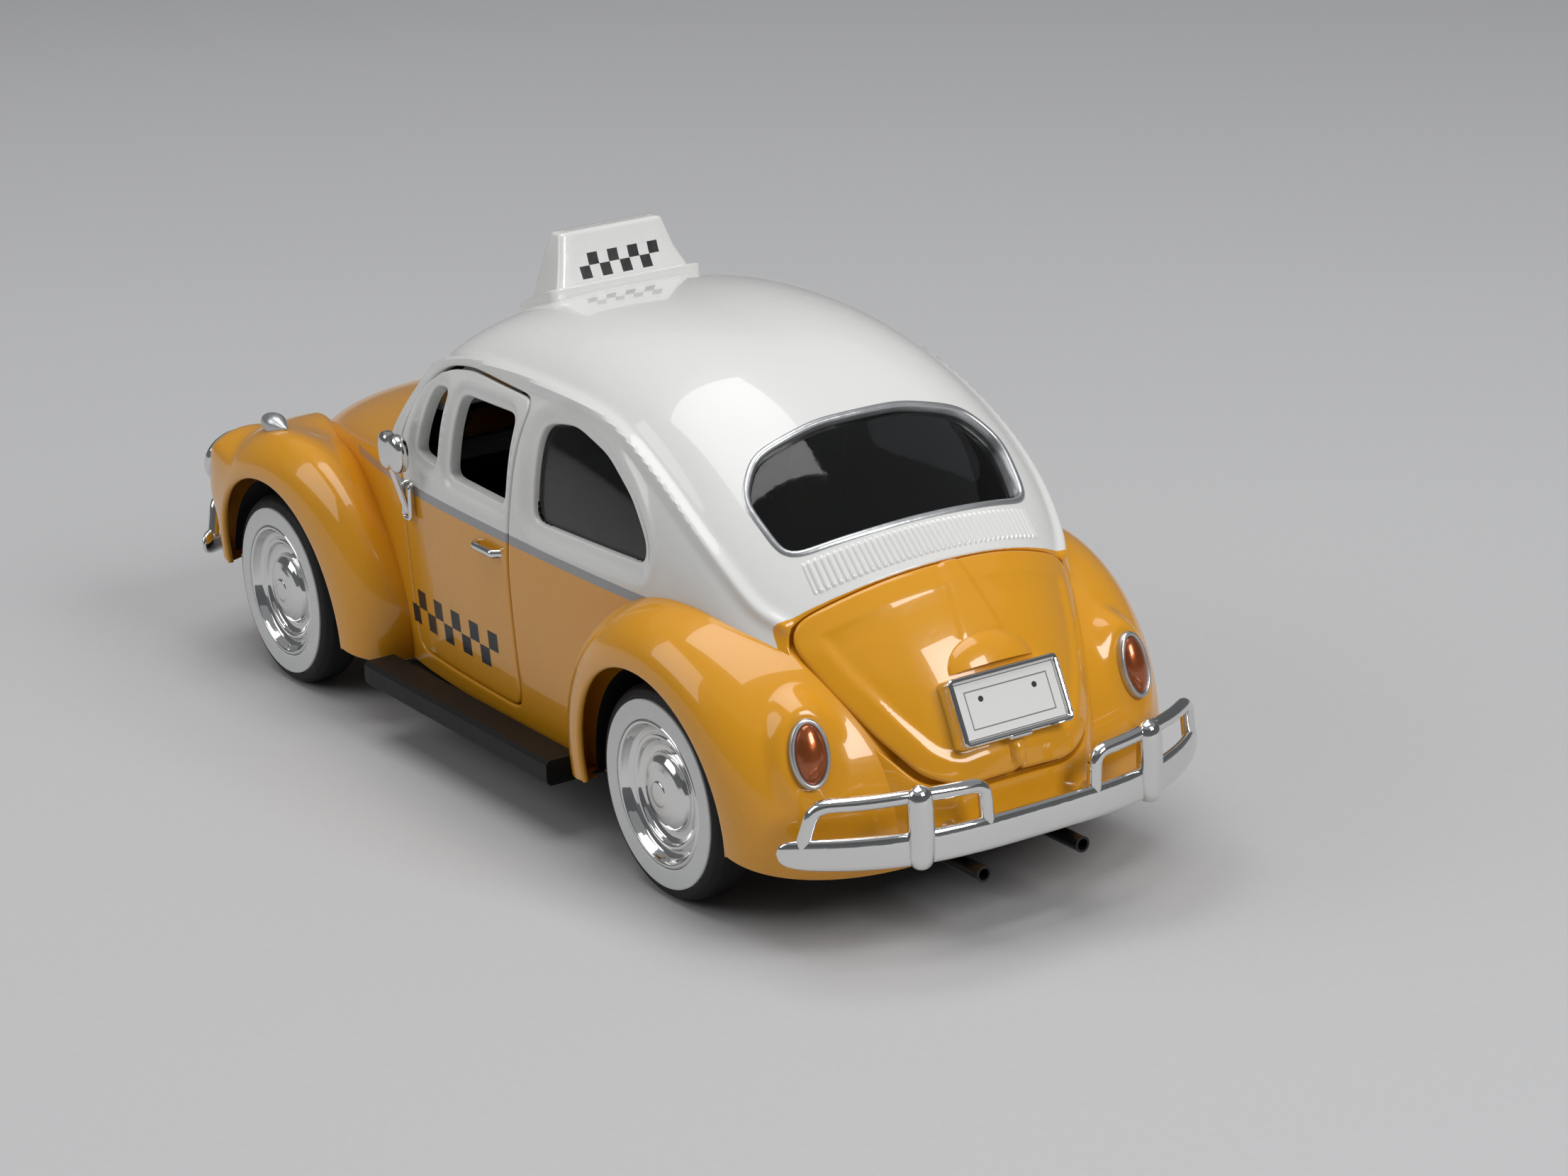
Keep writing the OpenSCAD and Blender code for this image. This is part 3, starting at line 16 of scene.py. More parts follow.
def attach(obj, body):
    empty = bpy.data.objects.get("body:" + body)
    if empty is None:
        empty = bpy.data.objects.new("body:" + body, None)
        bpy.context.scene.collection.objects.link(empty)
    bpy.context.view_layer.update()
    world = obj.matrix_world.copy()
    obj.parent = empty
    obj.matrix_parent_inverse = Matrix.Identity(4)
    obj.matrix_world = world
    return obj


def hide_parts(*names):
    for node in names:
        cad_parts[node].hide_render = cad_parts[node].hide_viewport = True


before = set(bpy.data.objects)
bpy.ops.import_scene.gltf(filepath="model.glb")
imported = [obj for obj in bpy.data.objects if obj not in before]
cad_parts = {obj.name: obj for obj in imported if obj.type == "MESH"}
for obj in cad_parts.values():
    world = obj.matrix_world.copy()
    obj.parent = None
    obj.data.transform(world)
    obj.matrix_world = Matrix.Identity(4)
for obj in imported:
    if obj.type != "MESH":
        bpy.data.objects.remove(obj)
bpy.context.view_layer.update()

# %% [markdown]
# ## Sizes and places
# All shapes are worked out in millimetres in the car's own frame: +X forward, +Y left, +Z up and
# the ground at zero. The same shares of the wheelbase and of the roof's height that shape the
# solids are repeated here, so a dressed piece lands on its solid without any fitting.

# %% Shared sizes
MM = 0.001
WHEELBASE = 100.0
MID_X = 3.85
REAR_AXLE_X = MID_X - WHEELBASE / 2
FRONT_AXLE_X = MID_X + WHEELBASE / 2
ROOF_H = 63.3
HALF_W = 26.3
FENDER_Y = 32.0
ARCH_R = 16.4
AXLE_Z = 13.35
SILL_TUCK = 1.2
BASE_TOP = 9.2
SHELL_T = 1.2
OVERALL_L = 169.3
# along, crown, half width, shoulder, squareness, sill above the base plate
HULL_SHARES = np.array([
    [-0.830, 0.190, 0.285, 0.171, 2.10, 0.021], [-0.829, 0.269, 0.335, 0.174, 2.10, 0.021],
    [-0.822, 0.355, 0.403, 0.179, 2.10, 0.016], [-0.798, 0.455, 0.510, 0.194, 2.10, 0.013],
    [-0.755, 0.559, 0.669, 0.237, 2.10, 0.005], [-0.700, 0.648, 0.783, 0.324, 2.10, 0.005],
    [-0.640, 0.727, 0.869, 0.458, 2.15, 0.005], [-0.575, 0.818, 0.936, 0.569, 2.25, 0.005],
    [-0.495, 0.910, 0.973, 0.613, 2.40, 0.005], [-0.390, 0.973, 0.993, 0.624, 2.65, 0.005],
    [-0.260, 1.000, 1.000, 0.624, 2.90, 0.005], [-0.120, 0.998, 1.000, 0.624, 3.00, 0.005],
    [0.000, 0.973, 0.992, 0.624, 3.10, 0.005], [0.085, 0.926, 0.981, 0.624, 3.30, 0.005],
    [0.135, 0.859, 0.966, 0.619, 3.80, 0.005], [0.190, 0.755, 0.947, 0.610, 3.80, 0.005],
    [0.230, 0.673, 0.924, 0.592, 3.00, 0.005], [0.290, 0.664, 0.890, 0.569, 2.60, 0.005],
    [0.380, 0.654, 0.821, 0.550, 2.40, 0.005], [0.490, 0.626, 0.722, 0.521, 2.35, 0.005],
    [0.600, 0.572, 0.620, 0.474, 2.30, 0.005], [0.690, 0.493, 0.510, 0.411, 2.30, 0.013],
    [0.745, 0.395, 0.400, 0.340, 2.30, 0.021], [0.765, 0.292, 0.304, 0.261, 2.30, 0.029]])
HULL = HULL_SHARES * [WHEELBASE, ROOF_H, HALF_W, ROOF_H, 1, ROOF_H] + [MID_X, 0, 0, 0, 0, BASE_TOP]
LAST_SECTION = len(HULL) - 1.0
print("sections:", len(HULL), "from x", HULL[0, 0].round(1), "to", HULL[-1, 0].round(1))

# %% [markdown]
# ## One formula for the skin
# The real body is a casting whose surface flows from section to section. A B-spline does the same
# with numbers: it blends every four neighbouring sections into one smooth sheet, without the
# creases that straight joins would leave. The other helpers tell where the skin is when only a
# place in the side view or in plan is known.

# %% Hull formula
def xyz(x, y, z):
    """Points from three coordinates, each stretched to the shape that they share."""
    return np.stack(np.broadcast_arrays(x, y, z), -1)


def squared(c, s, n):
    """What a cosine and a sine are divided by to turn their circle into a superellipse."""
    return (np.abs(c) ** n + np.abs(s) ** n) ** (1 / n)


def running_length(points):
    """Length along a path up to each of its points."""
    return np.concatenate([[0], np.cumsum(np.linalg.norm(np.diff(points, axis=0), axis=1))])


def along(share):
    """A share of the wheelbase from its middle, as a place along the car."""
    return MID_X + share * WHEELBASE


def spline(rows, u):
    """Uniform cubic B-spline led by rows at u = 0, 1, 2, ..., straight on past both ends."""
    rows = np.vstack([2 * rows[0] - rows[1], rows, 2 * rows[-1] - rows[-2]])
    i = np.clip(np.floor(u).astype(int), 0, len(rows) - 4)
    t = (u - i)[..., None]
    return ((1 - t) ** 3 * rows[i] + (3 * t ** 3 - 6 * t ** 2 + 4) * rows[i + 1]
            + (1 + 3 * t + 3 * t ** 2 - 3 * t ** 3) * rows[i + 2] + t ** 3 * rows[i + 3]) / 6


def hull(u, v, set_in=0.0):
    """Skin of cabin, bonnet and tail. u counts the sections from tail to nose. v goes from the left
    sill (0) over the left shoulder (1) and the crown (2) to the right shoulder (3) and sill (4).
    Above the shoulder a section is a superellipse, below it the side tucks in with the square
    of the drop. set_in draws the whole form inwards."""
    x, top, w, shoulder, n, sill = np.moveaxis(spline(HULL, u), -1, 0)
    x = MID_X + (x - MID_X) * (1 - 2 * set_in / OVERALL_L)
    top, w = top - set_in, w - set_in
    across = np.abs(v - 2)
    drop = np.maximum(across - 1, 0)
    angle = (1 - np.minimum(across, 1)) * np.pi / 2
    c, s = np.cos(angle), np.sin(angle)
    q = squared(c, s, n)
    y = np.sign(2 - v) * (w * c / q - SILL_TUCK * drop ** 2)
    z = np.where(across < 1, shoulder + (top - shoulder) * s / q,
                 shoulder + (sill - shoulder) * drop)
    return xyz(x, y, z)


def even_steps(points, values, step):
    """Values that cut a curve into pieces of about one step, by running length."""
    run = running_length(points)
    return np.interp(np.linspace(0, run[-1], int(run[-1] / step) + 2), run, values)


FINE_U = np.linspace(0, LAST_SECTION, 2000)


def section_at(x):
    """Section number whose place along the car is x."""
    return np.interp(x, spline(HULL, FINE_U)[:, 0], FINE_U)


def skin_y(x, z):
    """Half width of the skin at a place along the car and a height."""
    _, top, w, shoulder, n, sill = spline(HULL, np.atleast_1d(section_at(x)))[0]
    up = (z - shoulder) / (top - shoulder)
    if up > 0:
        return w * (1 - min(up, 1) ** n) ** (1 / n)
    return w - SILL_TUCK * ((shoulder - z) / (shoulder - sill)) ** 2


def skin_z(x, y):
    """Height of the skin above points in plan, by the section's own superellipse."""
    _, top, w, shoulder, n, _ = np.moveaxis(spline(HULL, section_at(np.asarray(x, float))), -1, 0)
    return shoulder + (top - shoulder) * (1 - np.minimum(np.abs(y) / w, 1) ** n) ** (1 / n)


def on_side(x, z):
    """Section number and way round of points on the left side, from places in the side view."""
    u = section_at(np.asarray(x, float))
    _, top, w, shoulder, n, sill = np.moveaxis(spline(HULL, u), -1, 0)
    up = np.clip((z - shoulder) / (top - shoulder), 0, 1)
    over = np.arctan2(up, (1 - up ** n) ** (1 / n)) / (np.pi / 2)
    return u, np.where(z > shoulder, 1 + over, (z - sill) / (shoulder - sill))


print("skin at the crown:", hull(np.array([10.0]), np.array([2.0])).round(2))

# %% [markdown]
# ## Camera
# The camera stands where the photograph's camera stood, found once by matching known points. Its
# place, three angles and a lens are all that it needs. The Standard view shows colours as they
# are mixed, without a film look.

# %% Camera
def unit(vectors):
    """Vectors brought to length one."""
    return vectors / np.maximum(np.linalg.norm(vectors, axis=-1, keepdims=True), 1e-9)


CAMERA_AT = np.array([-434.15, 255.7, 188.3])
CAMERA_YAW, CAMERA_PITCH, CAMERA_ROLL = np.radians([-32.33, -18.46, -2.73])
CAMERA_SENSOR, CAMERA_LENS = 36, 93.08
look = np.array([math.cos(CAMERA_PITCH) * math.cos(CAMERA_YAW),
                 math.cos(CAMERA_PITCH) * math.sin(CAMERA_YAW), math.sin(CAMERA_PITCH)])
level = unit(np.cross(look, [0, 0, 1]))
upright = np.cross(level, look)
right = math.cos(CAMERA_ROLL) * level + math.sin(CAMERA_ROLL) * upright
above = -math.sin(CAMERA_ROLL) * level + math.cos(CAMERA_ROLL) * upright
camera = bpy.data.objects.new("camera", bpy.data.cameras.new("camera"))
pose = np.eye(4)
pose[:3, 0], pose[:3, 1], pose[:3, 2], pose[:3, 3] = right, above, -look, CAMERA_AT * MM
camera.matrix_world = Matrix(pose.tolist())
camera.data.sensor_width = CAMERA_SENSOR
camera.data.lens = CAMERA_LENS
camera.data.clip_start = 0.01
bpy.context.scene.collection.objects.link(camera)
bpy.context.scene.camera = camera
bpy.context.scene.view_settings.view_transform = "Standard"
print("camera", (CAMERA_AT * MM).round(3))

# %% [markdown]
# ## Light
# Paint and plating show mostly what they mirror, so they need broad soft lamps: a big one above, a
# smaller one beside the camera and a weak one from the far side. A pale world fills the rest.

# %% Lamps and world
def soft_lamp(name, place, target, size, watts):
    """A square area lamp at a place, turned towards a target, in metres."""
    lamp = bpy.data.lights.new(name, "AREA")
    lamp.shape, lamp.size, lamp.energy = "SQUARE", size, watts
    holder = bpy.data.objects.new(name, lamp)
    back = unit(np.array(place, float) - np.array(target, float))
    side = unit(np.cross([0, 0, 1], back)) if abs(back[2]) < 0.99 else np.array([1.0, 0, 0])
    turn = np.eye(4)
    turn[:3, 0], turn[:3, 1], turn[:3, 2], turn[:3, 3] = side, np.cross(back, side), back, place
    holder.matrix_world = Matrix(turn.tolist())
    bpy.context.scene.collection.objects.link(holder)


# name, place, target, side of the square, power
LAMPS = (("lamp_above", (0.08, 0.05, 0.95), (0, 0, 0), 0.70, 4.9),
         ("lamp_camera_side", (-0.75, -0.15, 0.55), (0, 0, 0.03), 0.35, 3.9),
         ("lamp_far_side", (0.35, 0.70, 0.50), (0, 0, 0.03), 0.50, 1.6))
SKY_COLOUR, SKY_STRENGTH = (0.80, 0.82, 0.85, 1), 0.32
for lamp_row in LAMPS:
    soft_lamp(*lamp_row)
world = bpy.data.worlds.new("studio")
bpy.context.scene.world = world
world.use_nodes = True
sky = world.node_tree.nodes["Background"].inputs
sky["Color"].default_value, sky["Strength"].default_value = SKY_COLOUR, SKY_STRENGTH
print("lamps:", ", ".join(row[0] for row in LAMPS))

# %% [markdown]
# ## A short way to write materials
# A material is a graph of nodes. Writing one node at a time is long, so a small helper adds a
# node, sets it and wires its inputs in one line. A number is set on the socket, a socket is wired.

# %% Node helpers
class Graph:
    """Adds nodes to one tree. Inputs are given by name or number as values or as sockets."""

    def __init__(self, tree):
        self.tree = tree

    def add(self, kind, inputs=None, **settings):
        """A new node with its settings and its inputs."""
        node = self.tree.nodes.new("ShaderNode" + kind)
        for key, value in settings.items():
            setattr(node, key, value)
        for key, value in (inputs or {}).items():
            if isinstance(value, bpy.types.NodeSocket):
                self.tree.links.new(value, node.inputs[key])
            else:
                node.inputs[key].default_value = value
        return node

    def place(self):
        """Where a point is on its piece, in metres."""
        return self.add("TexCoord").outputs["Object"]

    def math(self, operation, *values):
        """The result of one step of arithmetic."""
        return self.add("Math", dict(enumerate(values)), operation=operation).outputs[0]

    def plus(self, a, b):
        """The sum of two values."""
        return self.math("ADD", a, b)

    def minus(self, a, b):
        """One value less another."""
        return self.math("SUBTRACT", a, b)

    def times(self, a, b):
        """The product of two values."""
        return self.math("MULTIPLY", a, b)

    def step(self, value, edge, soft):
        """0 below an edge and 1 above it, with a soft passage."""
        return self.add("MapRange", {0: value, 1: edge - soft, 2: edge + soft},
                        interpolation_type="SMOOTHSTEP").outputs[0]

    def between(self, value, low, high, soft):
        """1 between two edges and 0 outside them."""
        return self.times(self.step(value, low, soft),
                          self.minus(1.0, self.step(value, high, soft)))

    def mix(self, share, a, b):
        """Colour a, turned into colour b by a share."""
        return self.add("Mix", {0: share, 6: a, 7: b}, data_type="RGBA").outputs[2]

    def noise(self, vector, scale, detail=3.0):
        """Soft random spots, about as many to the metre as scale says."""
        return self.add("TexNoise", {"Vector": vector, "Scale": scale, "Detail": detail}).outputs[0]

    def checks(self, a, b, cell):
        """0 and 1 in turn on squares of one cell, counted along two lengths."""
        squares = self.add("CombineXYZ", {0: self.math("DIVIDE", a, cell), 1: 0.5,
                                          2: self.math("DIVIDE", b, cell)})
        return self.add("TexChecker", {"Vector": squares.outputs[0], "Scale": 1.0}).outputs["Fac"]

    def wire(self, node, **sockets):
        """Links into a node's inputs, which are named with _ for a space."""
        for key, socket in sockets.items():
            self.tree.links.new(socket, node.inputs[key.replace("_", " ")])


def new_finish(name, **values):
    """A material with one Principled shader whose even values are set straight on its sockets."""
    finish = bpy.data.materials.new(name)
    finish.use_nodes = True
    shader = finish.node_tree.nodes["Principled BSDF"]
    for key, value in values.items():
        shader.inputs[key.replace("_", " ")].default_value = value
    return finish, Graph(finish.node_tree), shader


def colour(r, g, b):
    """An opaque colour in linear light."""
    return (r, g, b, 1.0)


print("graph helpers:", ", ".join(key for key in vars(Graph) if key[0] != "_"))

# %% [markdown]
# ## An effect that all finishes share
# Paint, plating and plastic of a handled toy have some things in common: slight waves in the
# surface, dull marks where fingers were, and fine dust. They are built once as a node group, on
# the piece's own coordinates. Each finish then sets its waves, its gloss and its marks.

# %% Lacquer effect
WAVE_SCALE, SMUDGE_SCALE, DUST_SCALE, TINT_SCALE = 420.0, 55.0, 2600.0, 18.0
WAVE_DEPTH = 0.0004
DUST_ROUGH = 0.12
NUMBER, VECTOR = "NodeSocketFloat", "NodeSocketVector"


def new_group(name, inputs, outputs):
    """An empty node group with its inputs, each with a first value, and its outputs."""
    tree = bpy.data.node_groups.new(name, "ShaderNodeTree")
    for label, kind, value in inputs:
        socket = tree.interface.new_socket(label, in_out="INPUT", socket_type=kind)
        socket.default_value = value
    for label, kind in outputs:
        tree.interface.new_socket(label, in_out="OUTPUT", socket_type=kind)
    return tree, tree.nodes.new("NodeGroupInput"), tree.nodes.new("NodeGroupOutput")


lacquer, lacquer_in, lacquer_out = new_group(
    "lacquer", [("Wave", NUMBER, 0.1), ("Gloss", NUMBER, 0.1), ("Marks", NUMBER, 0.1)],
    [("Roughness", NUMBER), ("Normal", VECTOR), ("Tint", NUMBER)])
g = Graph(lacquer)
place = g.place()
waves = g.noise(place, WAVE_SCALE, 2.0)
smudge = g.noise(place, SMUDGE_SCALE, 4.0)
dust = g.step(g.noise(place, DUST_SCALE, 1.0), 0.74, 0.03)
rough = g.times(g.step(smudge, 0.58, 0.16), lacquer_in.outputs["Marks"])
rough = g.plus(lacquer_in.outputs["Gloss"], rough)
rough = g.plus(rough, g.times(dust, DUST_ROUGH))
bump = g.add("Bump", {"Strength": lacquer_in.outputs["Wave"], "Distance": WAVE_DEPTH,
                      "Height": waves})
tint = g.plus(0.97, g.times(g.noise(place, TINT_SCALE), 0.06))
g.wire(lacquer_out, Roughness=rough, Normal=bump.outputs[0], Tint=tint)


def add_lacquer(g, wave, gloss, marks):
    """The lacquer group in a finish, with its three strengths."""
    return g.add("Group", {"Wave": wave, "Gloss": gloss, "Marks": marks}, node_tree=lacquer).outputs


print("groups:", [tree.name for tree in bpy.data.node_groups])

# %% [markdown]
# ## Two-tone paint
# The casting is sprayed yellow, and the upper half white over a mask. A grey line hides the edge
# along the belt, and black checks are printed on the doors. The whole scheme depends only on where
# a point is on the car, so one material with a few soft steps on the Object coordinates paints
# the body and both doors, and the colour runs on across the gaps between them.

# %% Two-tone paint
YELLOW = colour(0.720, 0.318, 0.014)
WHITE = colour(0.745, 0.745, 0.725)
BELT_GREY = colour(0.30, 0.305, 0.31)
BLACK = colour(0.012, 0.012, 0.013)
UNLIT = colour(0, 0, 0)
HALF_ROOT = math.sqrt(0.5)
EDGE_SOFT = 0.00005
EDGE_FUZZ = 0.0002
BELT_Z, BELT_H = 0.0352, 0.0013
BELT_X = (-0.0515, 0.0375)
BELT_LEAST_Y = 0.0195
# s is a length up the 45 degree slope of the tail, or of the windscreen
TAIL_SEAM_S = -0.0199
COWL_SEAM_S = 0.0125
# white tip of the rear pillar: half width beside the lid, where it narrows and how fast, its ends
TIP_Y, TIP_NARROW_S, TIP_NARROWING = 0.0210, -0.0229, 0.29
TIP_LOW_S, TIP_FRONT_X = -0.0275, -0.052
CHECK_CELL = 0.0026
CHECK_START_X = -0.0006
CHECK_X = (-0.0058, 0.0202)
CHECK_Z = (0.0157, 0.0209)


def white_mask(g, y, z, from_mid, fuzz):
    """1 above the belt and between the seams on tail and cowl, and on the rear pillar's tip."""
    s_tail = g.plus(g.times(g.plus(from_mid, z), HALF_ROOT), fuzz)
    s_screen = g.plus(g.times(g.minus(z, from_mid), HALF_ROOT), fuzz)
    white = g.times(g.step(z, BELT_Z, EDGE_SOFT), g.step(s_tail, TAIL_SEAM_S, EDGE_SOFT))
    white = g.times(white, g.step(s_screen, COWL_SEAM_S, EDGE_SOFT))
    below = g.math("MINIMUM", g.minus(s_tail, TIP_NARROW_S), 0.0)
    past_lid = g.minus(g.minus(g.math("ABSOLUTE", y), TIP_Y), g.times(below, TIP_NARROWING))
    tip = g.times(g.step(past_lid, 0.0, EDGE_SOFT), g.step(s_tail, TIP_LOW_S, EDGE_SOFT))
    behind = g.minus(1.0, g.step(from_mid, TIP_FRONT_X, EDGE_SOFT))
    return g.math("MAXIMUM", white, g.times(tip, behind))


def paint_scheme(g):
    """Colour, belt mask and check mask from a point's place on the car."""
    where = g.add("TexCoord")
    x, y, z = g.add("SeparateXYZ", {0: where.outputs["Object"]}).outputs
    from_mid = g.minus(x, MID_X * MM)
    fuzz = g.minus(g.noise(where.outputs["Object"], 900.0), 0.5)
    white = white_mask(g, y, z, from_mid, g.times(fuzz, EDGE_FUZZ))
    belt = g.between(z, BELT_Z - BELT_H / 2, BELT_Z + BELT_H / 2, EDGE_SOFT)
    belt = g.times(belt, g.between(from_mid, *BELT_X, EDGE_SOFT))
    belt = g.times(belt, g.step(g.math("ABSOLUTE", y), BELT_LEAST_Y, EDGE_SOFT))
    squares = g.checks(g.minus(from_mid, CHECK_START_X), g.minus(z, CHECK_Z[0]), CHECK_CELL)
    band = g.times(g.between(from_mid, *CHECK_X, EDGE_SOFT / 2),
                   g.between(z, *CHECK_Z, EDGE_SOFT / 2))
    facing = g.add("SeparateXYZ", {0: where.outputs["Normal"]}).outputs[1]
    outer = g.step(g.times(facing, g.math("SIGN", y)), 0.3, 0.05)
    check = g.times(g.times(squares, band), outer)
    base = g.mix(belt, g.mix(white, YELLOW, WHITE), BELT_GREY)
    return g.mix(check, base, BLACK), belt, check


def two_tone(name):
    """The paint scheme under lacquer: the belt is partly metal, the checks have little coat."""
    finish, g, shader = new_finish(name, Coat_Roughness=0.03, Specular_IOR_Level=0.25)
    base, belt, check = paint_scheme(g)
    coat = add_lacquer(g, 0.10, 0.24, 0.05)
    g.wire(shader, Base_Color=g.mix(coat["Tint"], UNLIT, base), Metallic=g.times(belt, 0.4),
           Coat_Weight=g.minus(0.7, g.times(check, 0.62)), Roughness=coat["Roughness"],
           Normal=coat["Normal"])
    return finish


body_paint = two_tone("body_paint")
print("body paint:", len(body_paint.node_tree.nodes), "nodes")

# %% [markdown]
# ## One-colour finishes
# Everything else has one colour: plain paint, vacuum plating, rubber, dyed plastic. They differ in
# colour, in how metallic they are and in the three strengths of the lacquer effect, so one
# function makes them all.

# %% One-colour finishes
def lacquered(name, base, wave, gloss, marks, **values):
    """One colour under the shared lacquer effect."""
    finish, g, shader = new_finish(name, **values)
    coat = add_lacquer(g, wave, gloss, marks)
    g.wire(shader, Base_Color=g.mix(coat["Tint"], UNLIT, base), Roughness=coat["Roughness"],
           Normal=coat["Normal"])
    return finish


white_paint = lacquered("white_paint", WHITE, 0.10, 0.22, 0.10,
                        Coat_Weight=0.8, Coat_Roughness=0.04)
fender_paint = lacquered("fender_paint", YELLOW, 0.10, 0.24, 0.10,
                         Coat_Weight=0.8, Coat_Roughness=0.03, Specular_IOR_Level=0.25)
silver_paint = lacquered("silver_paint", colour(0.560, 0.570, 0.580), 0.25, 0.30, 0.10,
                         Metallic=0.85)
plating = lacquered("bright_plating", colour(0.78, 0.78, 0.77), 0.10, 0.06, 0.08, Metallic=1.0)
tyre_rubber = lacquered("tyre_rubber", colour(0.010, 0.010, 0.010), 0.5, 0.58, 0.12,
                        Specular_IOR_Level=0.35)
whitewall_paint = lacquered("whitewall_paint", colour(0.68, 0.69, 0.68), 0.3, 0.42, 0.15)
black_plastic = lacquered("black_plastic", colour(0.007, 0.007, 0.007), 0.1, 0.46, 0.08,
                          Specular_IOR_Level=0.22)
black_gloss = lacquered("black_gloss", colour(0.007, 0.007, 0.007), 0.1, 0.26, 0.08,
                        Specular_IOR_Level=0.35)
engine_grey = lacquered("engine_grey", colour(0.12, 0.12, 0.125), 0.6, 0.45, 0.15, Metallic=0.4)
steel = lacquered("steel", colour(0.50, 0.50, 0.50), 0.2, 0.25, 0.15, Metallic=1.0)
amber_paint = lacquered("amber_paint", colour(0.36, 0.085, 0.016), 0.3, 0.26, 0.1,
                        Metallic=0.7, Coat_Weight=1.0, Coat_Roughness=0.03)
print("finishes:", len(bpy.data.materials))

# %% [markdown]
# ## Clear plastic
# Panes and lenses are thin clear mouldings. Light passes through them, so they keep one even tint,
# and only their gloss and the faint wave of the moulding come from the shared effect. The panes'
# dark grey tint is painted shade: it darkens the cabin seen through them.

# %% Clear plastic
def clear_finish(name, tint, gloss):
    """Thin clear plastic: light passes through it, and its faces carry the moulding's wave."""
    finish, g, shader = new_finish(name, Transmission_Weight=1.0, IOR=1.45, Base_Color=tint)
    coat = add_lacquer(g, 0.04, gloss, 0.03)
    g.wire(shader, Roughness=coat["Roughness"], Normal=coat["Normal"])
    return finish


# The panes' dark grey tint is painted shade over the cabin behind them; the lenses are nearly
# clear.
pane_with_painted_shade = clear_finish("pane_with_painted_shade", colour(0.16, 0.163, 0.165), 0.03)
clear_lens = clear_finish("clear_lens", colour(0.97, 0.98, 0.97), 0.04)
print("clear finishes:", pane_with_painted_shade.name, clear_lens.name)

# %% [markdown]
# ## Turning arrays into pieces
# Every piece ends as arrays of points and faces. One helper writes them into a mesh, turns all
# faces outwards by the sign of the enclosed volume, hangs the piece on the empty of the body that
# carries it and hides the solids that it stands for.

# %% Mesh helpers
pieces = {}


def grid_faces(rows, cols, close_rows=False, close_cols=False):
    """Four-sided faces of a grid of points, wrapped round where a direction closes on itself."""
    i, j = np.meshgrid(np.arange(rows - (not close_rows)), np.arange(cols - (not close_cols)),
                       indexing="ij")
    i2, j2 = (i + 1) % rows, (j + 1) % cols
    return np.stack([i * cols + j, i * cols + j2, i2 * cols + j2, i2 * cols + j], -1).reshape(-1, 4)


def grid_part(grid, **closed):
    """A grid of points as a part: its points in a row and the faces between them."""
    return grid.reshape(-1, 3), grid_faces(*grid.shape[:2], **closed)


def join(*parts):
    """Several (points, faces) parts as one. A face is a row of four point numbers; that of a
    three-sided one ends with -1."""
    points, faces, start = [], [], 0
    for p, f in parts:
        points.append(p)
        faces.append(np.where(f >= 0, f + start, -1))
        start += len(p)
    return np.vstack(points), np.vstack(faces)


def turned_over(faces):
    """The same faces seen from behind, with three-sided ones still padded at the end."""
    return np.where(faces[:, 3:] >= 0, faces[:, ::-1], np.hstack([faces[:, 2::-1], faces[:, 3:]]))


def mirrored(part):
    """The same part on the right side of the car."""
    points, faces = part
    return points * [1, -1, 1], turned_over(faces)


# name of a side, what brings a left part there, and the sign of y
SIDES = (("left", lambda part: part, 1), ("right", mirrored, -1))


def add_piece(name, part, body, finish, stands_for=None, centre=None, sharp=35.0):
    """Write a part into an object at the origin. Faces look away from the centre (volume test)."""
    points, faces = part
    used = np.unique(faces[faces >= 0])
    renumber = np.full(len(points), -1)
    renumber[used] = np.arange(len(used))
    faces = np.where(faces >= 0, renumber[faces], -1)
    points = points[used]
    a, b, c = (points[faces[:, k]] for k in range(3))
    d = np.where(faces[:, 3:] >= 0, points[faces[:, 3]], a)
    area = np.cross(c - a, d - b) / 2
    middle = points.mean(0) if centre is None else np.asarray(centre, float)
    flip = np.einsum("ij,ij->", (a + c) / 2 - middle, area) < 0
    corners = (faces[:, ::-1] if flip else faces).astype(np.int32)
    sizes = (corners >= 0).sum(1).astype(np.int32)
    mesh = bpy.data.meshes.new(name)
    mesh.vertices.add(len(points))
    mesh.vertices.foreach_set("co", (points * MM).ravel())
    mesh.loops.add(int(sizes.sum()))
    mesh.loops.foreach_set("vertex_index", corners[corners >= 0])
    mesh.polygons.add(len(corners))
    mesh.polygons.foreach_set("loop_start", (np.cumsum(sizes) - sizes).astype(np.int32))
    mesh.update(calc_edges=True)
    mesh.validate()
    mesh.shade_smooth()
    mesh.set_sharp_from_angle(angle=math.radians(sharp))
    piece = bpy.data.objects.new(name, mesh)
    bpy.context.scene.collection.objects.link(piece)
    mesh.materials.append(finish)
    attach(piece, body)
    if stands_for:
        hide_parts(stands_for)
    pieces[name] = len(corners)


print("a grid of 3 by 4 points has", len(grid_faces(3, 4)), "faces")

# %% [markdown]
# ## Openings cut along true outlines
# Doors, windows and the lid are cut from one smooth skin. A boolean would leave a ragged mesh, so
# the cut is made on the grid itself: the distance to a rounded outline is measured at every grid
# point, the points nearest the line are slid onto it, and faces on the far side are dropped. The
# cut edge is then rolled inwards, which gives the soft painted edge of a casting.

# %% Outlines
OUTLINE_STEPS = 132
OUTLINE_NEAR = 6


def evened(path, count):
    """A path cut into even steps: its new points and their running lengths."""
    run = running_length(path)
    at = np.linspace(0, run[-1], count)
    return np.stack([np.interp(at, run, path[:, 0]), np.interp(at, run, path[:, 1])], 1), at


def bell_smoothed(points, apart, soften):
    """Points averaged with their neighbours, weighted by a bell curve of how far apart they are."""
    weight = np.exp(-0.5 * (apart / soften) ** 2)
    return weight @ points / weight.sum(1, keepdims=True)


